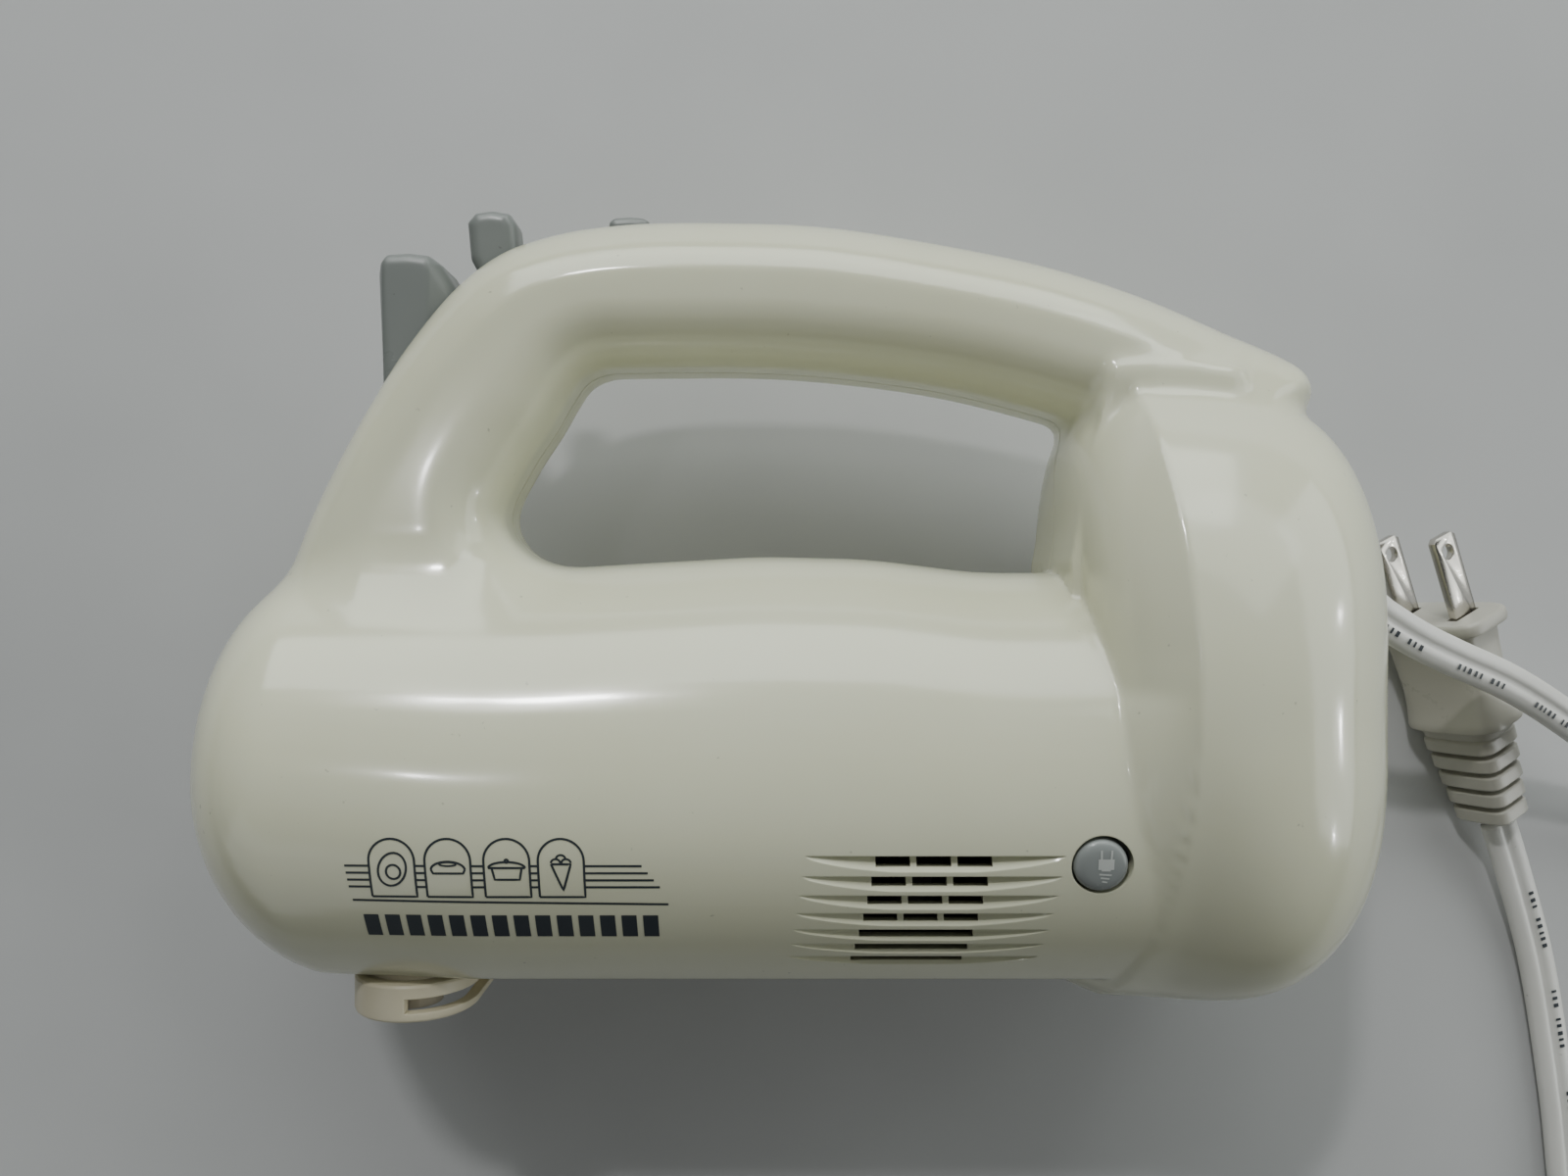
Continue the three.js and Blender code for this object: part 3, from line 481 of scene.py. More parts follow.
def plug_body():
    """Moulded plug: a broad flange, a waisted grip, and a shoulder before the cord's collars."""
    stations = [
        (0.0, 11.9, 6.6, 5), (0.25, 12.2, 6.9, 5), (0.7, 12.4, 7.1, 5), (2.2, 12.4, 7.1, 5),
        (2.7, 12.2, 6.9, 5), (2.95, 11.6, 6.3, 5), (3.1, 10.4, 5.9, 6), (4.4, 10.0, 5.6, 6),
        (8, 9.7, 5.4, 6), (12, 9.4, 5.4, 6), (16, 9.3, 5.7, 5), (19.5, 9.7, 6.3, 4),
        (22, 10.1, 6.9, 3.6), (23.2, 10.3, 7.2, 3.6), (23.8, 10.2, 7.1, 3.6),
        (24.1, 9.6, 6.6, 3.6), (24.3, 8.2, 5.9, 4), (26.0, 7.7, 5.6, 4),
    ]
    body = loft([rounded_ring(*row) for row in stations], "moulded_plug")
    for y in (-BLADE_Y, BLADE_Y):
        boolean(body, box(-1, 5.4, y - 1.1, y + 1.1, -3.6, 3.6))
    return body


def plug_blade(side, name):
    """A flat blade with a chamfered tip and a hole."""
    y = side * BLADE_Y
    outline = [(-16.2, -3.15), (5.3, -3.15), (5.3, 3.15), (-16.2, 3.15), (-17, 2.2), (-17, -2.2)]
    blade = prism("y", outline, y - 0.75, y + 0.75, name)
    boolean(blade, rod("y", (-13.5, 0), 1.6, y - 3, y + 3, 40))
    return bevel(blade, 0.25)


def strain_relief():
    """Five flat collars on a tapering neck."""
    rings = [rounded_ring(25.7, 7.2, 5.2, 5, 72)]
    for k in range(5):
        x = 26.2 + 4.1 * k
        a, b = 7.6 - 0.42 * k, 5.9 - 0.28 * k
        for dx, inset in ((0, 0.3), (0.3, 0), (2.7, 0), (3.0, 0.3)):
            rings.append(rounded_ring(x + dx, a - inset, b - inset, 5, 72))
        if k < 4:
            for dx in (3.05, 3.5, 4.05):
                rings.append(rounded_ring(x + dx, a - 1.9, b - 1.9, 4, 72))
    rings += [rounded_ring(45.7, 5.2, 4.0, 4, 72), rounded_ring(45.9, 4.4, 3.0, 4, 72)]
    return loft(rings, "plug_strain_relief")


plug = moved(plug_body(), PLUG_TURN)
blade_up = moved(plug_blade(1, "plug_blade_upper"), PLUG_TURN)
blade_low = moved(plug_blade(-1, "plug_blade_lower"), PLUG_TURN)
relief = moved(strain_relief(), PLUG_TURN)
for piece in (plug, blade_up, blade_low, relief):
    crease_smooth(piece)
finish_piece(free_cord, WHITE, replaces=["free_cord"])
finish_piece(marks, PRINT)
finish_piece(plug, SHADED_PLUG_VINYL, replaces=["plug_body"])
finish_piece(relief, SHADED_PLUG_VINYL, replaces=["strain_relief"])
finish_piece(blade_up, NICKEL, replaces=["upper_plug_blade"])
finish_piece(blade_low, NICKEL, replaces=["lower_plug_blade"])

# ---------- housing field ----------
WALL = 2.5
# Faces this deep or deeper get the inner wall's painted shade.
INNER_FROM = 1.7  # a face this deep or deeper belongs to the inner wall
SEAM = 0.12  # half the gap between the housing halves
BODY_R = 35.5
BODY_AXIS_Y = -35
UNDERSIDE = -65.5
NOSE_START, NOSE_LENGTH = -80.0, 20.5
NOSE_TUCK = 5  # the nose's rounding starts this much nearer the heel on its underside
NOSE_FULLNESS, UNDER_FULLNESS = 2.2, -0.4
HEEL_RIM, HEEL_LENGTH = 61.5, 41.2
HEEL_WIDE, HEEL_UP, HEEL_LOW = 41.0, 54.0, 56.2
HEEL_MIDDLE = -16
RIM_LEAN, RIM_CURL = 0.055, 0.0031  # the rim bends to the nose above Y = -10 and below Y = -26
COVE_DEPTH = 11.2
WEB_HALF = 16.9
GRIP_R = 9.5  # the grip's rounding along the finger gap
SPINDLE_X, SPINDLE_Z = -63.5, 12.0
# The motor body's top line, its widest line, and the depth of its underside below that line.
TOP = [(-80, 3.5), (-40, 3.6), (-4, 5.7), (15, 5.2), (35, 2.7), (47, 2.8), (90, 2.8)]
MIDDLE = [(-80, -31.5), (-50, -35), (90, -35)]
LOW = [(-80, 37.3), (-50, 35.5), (90, 35.5)]
# Points on the handle's outer edge and inner edge, paired along its length.
SPINE = [
    [(-90, -12), (-42, -12)], [(-88, -2), (-43.5, -3)], [(-85.5, 5), (-47.5, 5)],
    [(-82, 14), (-49.4, 13)], [(-78, 22.5), (-45.6, 21.5)], [(-73, 31.5), (-41.2, 28.3)],
    [(-66.5, 42.5), (-37.9, 34)], [(-57.5, 54), (-35.6, 37.1)], [(-49.5, 60.3), (-32.2, 38.7)],
    [(-41, 63.4), (-26.8, 39)], [(-28, 65.3), (-18.7, 39.1)], [(-10, 65.6), (-7.5, 39.1)],
    [(8, 64.8), (6, 38.4)], [(35, 60.4), (26, 35.9)], [(49, 57.2), (40, 32.8)],
    [(63, 52.6), (55, 28)], [(77, 46.6), (68, 20)], [(92.8, 38.9), (81, 12)],
    [(94.8, 34.6), (85, 10)],
]
# The flat wall at the finger hole's heel end, seen from the side.
WEB = [(48.6, -8), (48.2, 4), (53.4, 30), (56, 36), (76, 36), (76, -8)]


def table(points, x):
    """A table read at x, eased over a few millimetres."""
    px, py = np.array(points, float).T
    total, weight = 0.0, 0.0
    for k in np.linspace(-8, 8, 17):
        g = math.exp(-(k**2) / 19)
        total, weight = total + g * np.interp(x + k, px, py), weight + g
    return total / weight


def body_field(x, y, z):
    """The motor body: 1 on its skin, less inside."""
    xc = np.maximum(x, NOSE_START)
    top, mid, low = table(TOP, xc), table(MIDDLE, xc), table(LOW, xc)
    dy = y - mid
    v = np.where(dy > 0, dy / (top - mid), dy / low)
    u = z / BODY_R
    q = np.sqrt(u * u + v * v) + 1e-6
    under = np.where(v < 0, (v / q) ** 2, 0.0)
    start = NOSE_START + NOSE_TUCK * under
    nose = np.clip((start - x) / (start - NOSE_START + NOSE_LENGTH), 0, 2)
    p = NOSE_FULLNESS + UNDER_FULLNESS * under
    return (q**p + nose**p) ** (1 / p)


def heel_field(x, y, z):
    """The heel's dome: 1 on its skin, less inside, and the X of its flared front at each point."""
    rim = HEEL_RIM - RIM_LEAN * np.maximum(0, y + 10) - RIM_CURL * np.maximum(0, -26 - y) ** 2
    s = np.clip((x - rim) / (HEEL_RIM + HEEL_LENGTH - rim), 0, 2)
    dy = y - HEEL_MIDDLE + 3 * np.minimum(1, s)
    v = np.where(dy > 0, dy / HEEL_UP, dy / HEEL_LOW)
    u = z / HEEL_WIDE
    fuller = np.clip((x - HEEL_RIM) / 24, 0, 1)
    n = 2 + 0.9 * fuller * fuller * (3 - 2 * fuller) * np.clip(-dy / 10, 0, 1)
    q = (np.abs(u) ** n + np.abs(v) ** n) ** (1 / n) + 1e-6
    steep = v * v / (u * u + v * v + 1e-9)
    inward = np.maximum(0, 1 - q) * np.hypot(z, dy) / q
    lean = 0.105 + 0.16 * np.clip(-dy / 20, 0, 1)
    front = rim - COVE_DEPTH * np.tanh(lean * inward)
    p = 2.4 + steep * np.where(v > 0, 1.6, 0.45)
    return (q**p + s**p) ** (1 / p), front


def in_millimetres(q, xs, ys, zs):
    """A field that is 1 on a skin, turned into rough distances from that skin."""
    slope = np.sqrt(sum(g * g for g in np.gradient(q, xs, ys, zs)))
    return (q - 1) / np.maximum(slope, 0.008)


def polyline_distance(px, py, line, closed=True):
    """Distance from points to a polyline, and whether they are inside it."""
    a = line if closed else line[:-1]
    b = np.roll(line, -1, axis=0) if closed else line[1:]
    best = np.full(px.shape, 1e9)
    inside = np.zeros(px.shape, bool)
    for (ax, ay), (bx, by) in zip(a, b):
        dx, dy = bx - ax, by - ay
        length = dx * dx + dy * dy + 1e-12
        t = np.clip(((px - ax) * dx + (py - ay) * dy) / length, 0, 1)
        best = np.minimum(best, (px - ax - t * dx) ** 2 + (py - ay - t * dy) ** 2)
        if ay != by:
            cross = ((ay > py) != (by > py)) & (px < dx * (py - ay) / dy + ax)
            inside ^= cross
    return np.sqrt(best), inside


def grid_lines():
    """Grid stations: fine along X round the heel's rim, even elsewhere."""
    xs = [-103.0]
    while xs[-1] < 105:
        xs.append(xs[-1] + float(np.interp(xs[-1], [38, 45, 64, 70], [1.1, 0.5, 0.5, 1.1])))
    return np.array(xs), np.arange(-75.5, 71, 1.0), np.arange(-43.5, 44, 1.0)


def housing_field():
    """The grid's stations and the housing's field on them: below 0 inside, rough millimetres."""
    xs, ys, zs = grid_lines()
    x, y, z = xs[:, None, None], ys[None, :, None], zs[None, None, :]
    body = in_millimetres(body_field(x, y, z), xs, ys, zs)
    body = smooth_max(body, UNDERSIDE - y + 0 * z, 1.2)
    body = np.maximum(body, x - 80 + 0 * body)
    dome, front = heel_field(x, y, z)
    heel = smooth_max(in_millimetres(dome, xs, ys, zs), 0.8 * (front - x), 0.35)
    skin = smooth_min(body, heel, 0.8)
    gx, gy = np.meshgrid(xs, ys, indexing="ij")
    away, within = polyline_distance(gx, gy, np.array(WEB, float))
    web = smooth_max(np.where(within, -away, away)[:, :, None], np.abs(z) - WEB_HALF, 0.8)
    skin = smooth_min(skin, web, 0.8)
    # The handle: a band seen from the side, rounded with radius r, wider on its outer edge.
    outer, inner = (catmull([pair[k] for pair in SPINE], 0.8) for k in (0, 1))
    away, within = polyline_distance(gx, gy, np.vstack([outer, inner[::-1]]))
    flat = np.where(within, -away, away)
    to_outer = polyline_distance(gx, gy, outer, False)[0]
    to_inner = polyline_distance(gx, gy, inner, False)[0]
    share = to_inner / (to_inner + to_outer + 1e-6)
    share = np.clip((share - 0.3) / 0.4, 0, 1)
    r_out = np.interp(gx, [-72, -45], [9, 14.5])
    r = (GRIP_R + (r_out - GRIP_R) * share * share * (3 - 2 * share))[:, :, None]
    half = np.interp(gx, [-90, -78, 90, 97], [18, 16.6, 16.6, 16])
    crown = 2.0 * (1 - np.clip(-flat / 12.5, 0, 1)) ** 2
    e = flat[:, :, None] + r
    f = np.abs(z) - (half - crown)[:, :, None] + r
    handle = np.hypot(np.maximum(e, 0), np.maximum(f, 0)) + np.minimum(np.maximum(e, f), 0) - r
    k = np.interp(xs, [-92, -84, -70, 20, 50, 62, 80, 90], [2.5, 3.5, 10, 9, 3.5, 6, 5, 2])
    k = k[:, None, None]
    return xs, ys, zs, smooth_min(skin, handle, k)


def smooth_min(a, b, k):
    """The union of two fields, blended where they are within k of each other."""
    h = np.maximum(k - np.abs(a - b), 0) / k
    return np.minimum(a, b) - h * h * k / 4


def smooth_max(a, b, k):
    """The overlap of two fields, with its edge rounded."""
    return -smooth_min(-a, -b, k)


def surface(xs, ys, zs, field, name, passes):
    """The closed skin on which the field is 0: one vertex a cell, eased a little, in quads."""
    inside = field < 0
    nx, ny, nz = field.shape
    total = np.zeros((nx - 1, ny - 1, nz - 1, 3))
    count = np.zeros((nx - 1, ny - 1, nz - 1))
    coords = [xs, ys, zs]
    crossings = []
    for axis in range(3):
        lo = [slice(None)] * 3
        hi = [slice(None)] * 3
        lo[axis], hi[axis] = slice(0, -1), slice(1, None)
        fa, fb = field[tuple(lo)], field[tuple(hi)]
        cut = inside[tuple(lo)] != inside[tuple(hi)]
        at = np.argwhere(cut)
        va, vb = fa[cut], fb[cut]
        t = va / (va - vb)
        point = np.empty((len(at), 3))
        for d in range(3):
            point[:, d] = coords[d][at[:, d]]
        ca = coords[axis]
        point[:, axis] = ca[at[:, axis]] + t * (ca[at[:, axis] + 1] - ca[at[:, axis]])
        others = [d for d in range(3) if d != axis]
        for s0 in (0, 1):
            for s1 in (0, 1):
                cell = at.copy()
                cell[:, others[0]] -= s0
                cell[:, others[1]] -= s1
                np.add.at(total, tuple(cell.T), point)
                np.add.at(count, tuple(cell.T), 1)
        crossings.append((axis, others, at, va < 0))
    used = count > 0
    index = np.full(count.shape, -1)
    index[used] = np.arange(int(used.sum()))
    verts = total[used] / count[used][:, None]
    quads = []
    for axis, others, at, out in crossings:
        ring = []
        for s0, s1 in ((0, 0), (1, 0), (1, 1), (0, 1)):
            cell = at.copy()
            cell[:, others[0]] -= s0
            cell[:, others[1]] -= s1
            ring.append(index[tuple(cell.T)])
        quad = np.stack(ring, axis=1)
        turn = out if axis != 1 else ~out
        quad[~turn] = quad[~turn][:, ::-1]
        quads.append(quad)
    faces = np.vstack(quads)
    edges = np.vstack([faces[:, [k, (k + 1) % 4]] for k in range(4)])
    for weight in [0.5, -0.52] * passes:
        acc = np.zeros_like(verts)
        num = np.zeros(len(verts))
        for a, b in ((0, 1), (1, 0)):
            np.add.at(acc, edges[:, a], verts[edges[:, b]])
            np.add.at(num, edges[:, a], 1)
        verts = verts + weight * (acc / num[:, None] - verts)
    return outward(part(name, verts, faces))


xs, ys, zs, skin = housing_field()
outer_skin = surface(xs, ys, zs, skin, "outer", 2)
cavity = surface(xs[::2], ys[::2], zs[::2], skin[::2, ::2, ::2] + WALL, "cavity", 1)

# Housing screws and the speed lever's pivot, seen from the side.
SCREWS = [(-82, -9), (-56, 20), (1, -59.5), (47, -59.5), (72, 41)]
LEVER_PIVOT = (-40, 47)


def sector(centre, r0, r1, a0, a1, steps=20):
    """A piece of a ring between two radii and two angles in degrees."""
    angles = [math.radians(a0 + (a1 - a0) * k / steps) for k in range(steps + 1)]
    ring = [(centre[0] + r1 * math.cos(a), centre[1] + r1 * math.sin(a)) for a in angles]
    return ring + [
        (centre[0] + r0 * math.cos(a), centre[1] + r0 * math.sin(a)) for a in reversed(angles)
    ]


EJECT_SLOT = [
    (-73.4, -6.4), (-71, -8.6), (-62, -8.6), (-56.2, -4.6),
    (-56.2, 4.6), (-62, 8.6), (-71, 8.6), (-73.4, 6.4),
]

# The screw bosses stay solid through the cavity.
for x, y in SCREWS:
    boolean(cavity, rod("z", (x, y), 4.8, -60, 60, 32))
NOSE_CENTRE = -32.0
# Openings for the nose insert, collar, eject paddle, speed lever, turbo key and cord.
cuts = [
    rod("x", (NOSE_CENTRE, 0), 15.2, -110, -93, 96),
    prism("y", stadium(SPINDLE_X, 18.1, 8.6), -75, -60),
    prism("y", EJECT_SLOT, 16, 75),
    prism("z", sector(LEVER_PIVOT, 11, 30, 156, 72), -4.7, 4.7),
    box(-32.2, -23.3, 56, 70, -4.4, 4.4),
    rod("x", (-1.5, 0), 5.2, 90, 110, 64),
]

# ---------- air vents ----------
VENT_ROWS = 7
VENT_TOP, VENT_STEP = 9.5, 5.4  # degrees below the side-most line
SLOT_HEIGHT = (1.8, 1.7, 1.6, 1.5, 1.5, 1.35, 1.2)


def on_side(x, angle, depth, side):
    """A point near the round side of the body: angle below its side-most line, depth outward."""
    r = BODY_R + depth
    return (x, BODY_AXIS_Y - r * math.sin(angle), side * r * math.cos(angle))


def louvre(row, side):
    """A lens-shaped groove: a straight sharp upper edge over a blade that slopes out and down."""
    angle = math.radians(VENT_TOP + VENT_STEP * row)
    x0, x1 = 3.2 - 0.45 * row, 43.0 - 0.4 * row
    top = on_side(0, angle, 0, side)[1]
    rings = []
    for k in range(41):
        s = k / 40
        x = x0 + (x1 - x0) * s
        h = max(0.02, min(1, math.sin(math.pi * s) ** 0.6 * 1.08))
        _, y, z = on_side(x, angle, 0, side)
        drop = 0.95 * h
        lower = math.asin((BODY_AXIS_Y - top + drop) / BODY_R)
        _, y_mid, z_mid = on_side(x, lower, 0, side)
        rings.append([
            (x, y, z + side * 1.5), (x, y, z - side * 1.75 * h),
            (x, y_mid, z_mid - side * 1.3 * h),
            on_side(x, angle + 2.6 * h / BODY_R, -0.01, side),
            on_side(x, angle + 2.6 * h / BODY_R, 1.5, side),
        ])
    return loft(rings)


def vent_slot(row, column, side):
    """A through opening in the deep half of a groove. The lowest rows have no bars between."""
    _, y, z = on_side(0, math.radians(VENT_TOP + VENT_STEP * row), 0, side)
    x = 14 + 6.3 * column - 0.55 * row
    wide = 5.3 if row < 4 or column == 2 else 6.6
    low, high = y - SLOT_HEIGHT[row], y - 0.02
    return box(x, x + wide, low, high, *sorted((z - 9 * side, z + side)))


def side_cuts(side):
    """Every vent cutter of one side."""
    made = [louvre(row, side) for row in range(VENT_ROWS)]
    made += [vent_slot(row, c, side) for row in range(VENT_ROWS) for c in range(3)]
    return made


# ---------- housing ----------
# The cord button is built along Z, then moved to the body's axis and leant 12 degrees down.
BUTTON_TURN = (
    Matrix.Translation(Vector((48.6, BODY_AXIS_Y, 0)) * MM)
    @ Matrix.Rotation(math.radians(12), 4, "X")
)
shell = boolean(outer_skin, cavity)
for cutter in cuts:
    boolean(shell, cutter)
right_shell = shell.copy()
right_shell.data = shell.data.copy()
bpy.context.scene.collection.objects.link(right_shell)


def half_housing(obj, side, name):
    """One half of the shell, with its vents and its button hole or screw holes."""
    span = (SEAM, 60) if side > 0 else (-60, -SEAM)
    boolean(obj, box(-120, 120, -90, 90, *span), "INTERSECT")
    for cutter in side_cuts(side):
        boolean(obj, cutter)
    if side > 0:
        boolean(obj, moved(rod("z", (0, 0), 4.75, 25, 45, 72), BUTTON_TURN))
    else:
        for x, y in SCREWS:
            boolean(obj, rod("z", (x, y), 3.2, -60, -8, 40))
            boolean(obj, rod("z", (x, y), 1.45, -40, 1, 24))
    obj.name = name
    obj.data.name = name
    return crease_smooth(obj, 28)


def depth_inside(points):
    """The housing field at points, read off the grid."""
    place = []
    for axis, line in enumerate((xs, ys, zs)):
        c = np.clip(points[:, axis], line[0], line[-1] - 1e-3)
        i = np.clip(np.searchsorted(line, c, side="right") - 1, 0, len(line) - 2)
        place.append((i, (c - line[i]) / (line[i + 1] - line[i])))
    total = 0.0
    for dx in (0, 1):
        for dy in (0, 1):
            for dz in (0, 1):
                weight = 1.0
                for (_, t), d in zip(place, (dx, dy, dz)):
                    weight = weight * (t if d else 1 - t)
                total = total + weight * skin[
                    place[0][0] + dx, place[1][0] + dy, place[2][0] + dz]
    return total


def darken_inside(obj):
    """Gives the faces on the inner wall a near-black material: painted shade for the inside of the
    housing.
    """
    obj.data.materials.append(INNER_WALL_SHADE)
    centres = np.array([p.center for p in obj.data.polygons]) / MM - PLACE
    for p, depth in zip(obj.data.polygons, depth_inside(centres)):
        if depth < -INNER_FROM:
            p.material_index = 1


left = half_housing(shell, 1, "left_shell")
right = half_housing(right_shell, -1, "right_shell")
finish_piece(left, IVORY, replaces=["left_housing"])
finish_piece(right, IVORY, replaces=["right_housing"])
# Both halves get painted shade on their inner wall.
for half in (left, right):
    darken_inside(half)


# ---------- nose grille and collar ----------
def nose_skin(y, z):
    """X on the nose's skin at y, z, as body_field has it."""
    at = np.array([NOSE_START])
    top, mid, low = (float(table(t, at)[0]) for t in (TOP, MIDDLE, LOW))
    v = (y - mid) / (top - mid if y > mid else low)
    q = math.hypot(z / BODY_R, v) + 1e-6
    under = (v / q) ** 2 if v < 0 else 0.0
    start = NOSE_START + NOSE_TUCK * under
    p = NOSE_FULLNESS + UNDER_FULLNESS * under
    return start - (start - NOSE_START + NOSE_LENGTH) * (1 - q**p) ** (1 / p)


def grille():
    """The round insert at the nose's tip, flush with the skin round it, with five slots."""
    radii = [TIP_R, *np.linspace(1.5, 14.2, 9)]
    front = [(r, 0.0) for r in radii] + [(14.75, 0.25), (14.9, 0.8)]
    back = [(14.9, 2.0)] + [(r, 2.0) for r in reversed(radii)]
    rings = []
    for r, sunk in front + back:
        rings.append([(nose_skin(y, z) + sunk, y, z) for y, z in circle(NOSE_CENTRE, 0, r, 96)])
    made = loft(rings, "nose_insert")
    for k in range(-2, 3):
        reach = math.sqrt(12.4**2 - (4.5 * k) ** 2)
        slot = [(NOSE_CENTRE + 4.5 * k + u, v) for u, v in stadium(0, reach, 1.0, 12)]
        boolean(made, prism("x", slot, -110, -90))
    return crease_smooth(made, 30)


finish_piece(grille(), IVORY, replaces=["nose_grille"])


def collar():
    """The cup round the beater sockets, with a rolled rim and the attachment's slot."""
    stations = [
        (17.8, 8.3, -60.5), (17.8, 8.3, -65.5), (19.2, 9.7, -65.7), (19.7, 10.2, -65.8),
        (20, 10.5, -66.2), (20, 10.5, -71.2), (19.8, 10.3, -71.7), (19.4, 9.9, -72),
        (18.5, 9.0, -72), (18.1, 8.6, -71.6), (18, 8.5, -71.2), (18, 8.5, -67.8),
        (17.8, 8.3, -67.6), (2, 1, -67.6),
    ]
    rings = [[(u, y, v) for u, v in stadium(SPINDLE_X, half, r)] for half, r, y in stations]
    made = loft(rings, "attachment_collar")
    for z in (-SPINDLE_Z, SPINDLE_Z):
        boolean(made, rod("y", (SPINDLE_X, z), 5.2, -75, -55, 64))
    boolean(made, box(SPINDLE_X + 0.8, SPINDLE_X + 14, -70.4, -68, 2, 25))
    return crease_smooth(made, 30)


finish_piece(collar(), CREAM, replaces=["beater_collar"])


# ---------- controls ----------
def carved(name, side, plan, half, ease, step=0.4):
    """A rounded solid: a side view in X-Y, cut to a half-width in Z or to a plan in X-Z."""
    side = np.array(side, float)
    (x0, y0), (x1, y1) = side.min(0) - 1.5, side.max(0) + 1.5
    gx, gy = np.arange(x0, x1, step), np.arange(y0, y1, step)
    gz = np.arange(-half - 1.5, half + 1.5, step)
    ax, ay = np.meshgrid(gx, gy, indexing="ij")
    away, within = polyline_distance(ax, ay, side)
    flat = np.where(within, -away, away)[:, :, None]
    if plan is None:
        across = np.abs(gz)[None, None, :] - half + 0 * flat
    else:
        ax, az = np.meshgrid(gx, gz, indexing="ij")
        away, within = polyline_distance(ax, az, np.array(plan, float))
        across = np.where(within, -away, away)[:, None, :] + 0 * flat
    return surface(gx, gy, gz, smooth_max(flat + 0 * across, across, ease), name, 2)


PADDLE_SIDE = [
    (-70.6, 20), (-71.3, 40), (-72.4, 55.5), (-71.9, 57.9), (-69.8, 58.9), (-66, 59.1),
    (-62.6, 58.7), (-60.8, 57.4), (-57.4, 51.5), (-57.4, 46), (-66.5, 30), (-66.5, 20),
]
PADDLE_PLAN = [
    (-72.5, -5.4), (-70.4, -8), (-62.4, -8), (-56.8, -4.2),
    (-56.8, 4.2), (-62.4, 8), (-70.4, 8), (-72.5, 5.4),
]
LEVER_SIDE = [
    (-43.5, 45), (-36.5, 49), (-44.4, 55), (-47.6, 60), (-48.1, 65.4), (-49.3, 67.3),
    (-52.4, 67.8), (-55.4, 67.4), (-56.9, 65.6), (-56.3, 59), (-52.8, 52.5),
]
KEY_SIDE = [
    (-33, 58), (-33, 60.6), (-31.8, 60.6), (-31.4, 65.7), (-30.4, 66.4), (-27.8, 66.6),
    (-25.2, 66.4), (-24.1, 65.7), (-23.7, 60.6), (-22.5, 60.6), (-22.5, 58),
]
finish_piece(carved("eject_paddle", PADDLE_SIDE, PADDLE_PLAN, 8, 2.4), GREY,
             "ejector", ["eject_button"])


def speed_selector():
    """The speed lever: a blade with a domed tip, on a boss bored for its pin."""
    made = carved("speed_selector", LEVER_SIDE, None, 4, 2.2)
    boolean(made, rod("z", LEVER_PIVOT, 4.4, -4, 4, 48), "UNION")
    boolean(made, rod("z", LEVER_PIVOT, 2.1, -6, 6, 32))
    return crease_smooth(made, 35)


finish_piece(speed_selector(), GREY, "speed_lever", ["speed_lever"])
finish_piece(carved("turbo_key", KEY_SIDE, None, 3.9, 1.6, 0.3), GREY, "turbo",
             ["turbo_button"])


def cord_button():
    """The round release key, slightly domed, with a rounded edge and a retaining flange."""
    profile = [
        (0, 30.8), (5.4, 30.8), (5.5, 30.95), (5.5, 31.65), (5.4, 31.8), (4.2, 31.8),
        (4.2, 34.7), (4.1, 35.15), (3.85, 35.5), (3.4, 35.75), (2.5, 35.92), (1.3, 35.99),
        (0, 36.0),
    ]
    return moved(turned((-0.15, -0.12), profile, "cord_release_key"), BUTTON_TURN)


finish_piece(crease_smooth(cord_button(), 35), BUTTON_GREY, "cord_button",
             ["cord_button"])


# ---------- printed marks ----------
def strip(points, width, closed=False):
    """A flat stroke of even width along 2-D points, as short quads."""
    p = np.asarray(points, float)
    if closed:
        p = np.vstack([p, p[:1]])
    fine = [p[0]]
    for a, b in zip(p[:-1], p[1:]):
        n = max(1, int(np.linalg.norm(b - a) / 0.5))
        fine += [a + (b - a) * (k + 1) / n for k in range(n)]
    p = np.array(fine)
    t = np.gradient(p, axis=0)
    if closed:
        t[0] = t[-1] = p[1] - p[-2]
    t /= np.linalg.norm(t, axis=1)[:, None] + 1e-9
    n = np.stack([-t[:, 1], t[:, 0]], axis=1) * width / 2
    return [(p[i] + n[i], p[i + 1] + n[i + 1], p[i + 1] - n[i + 1], p[i] - n[i])
            for i in range(len(p) - 1)]


def oval(cx, cy, rx, ry, turn=0.0, start=0.0, stop=2 * math.pi, steps=28):
    """An ellipse or an arc of one, turned by an angle."""
    out = []
    for k in range(steps + 1):
        a = start + (stop - start) * k / steps
        u, v = rx * math.cos(a), ry * math.sin(a)
        out.append((cx + u * math.cos(turn) - v * math.sin(turn),
                    cy + u * math.sin(turn) + v * math.cos(turn)))
    return out


# The arched frames of the print, their foot and top, and the level lines between them.
STROKE = 0.36
FRAME_LEFT = (-63.4, -54.8, -45.8, -37.5)
FRAME_WIDE = 7.0
FRAME_FOOT, FRAME_TOP = -47.5, -38.1
LINES = (-42.4, -43.55, -44.7, -45.85)


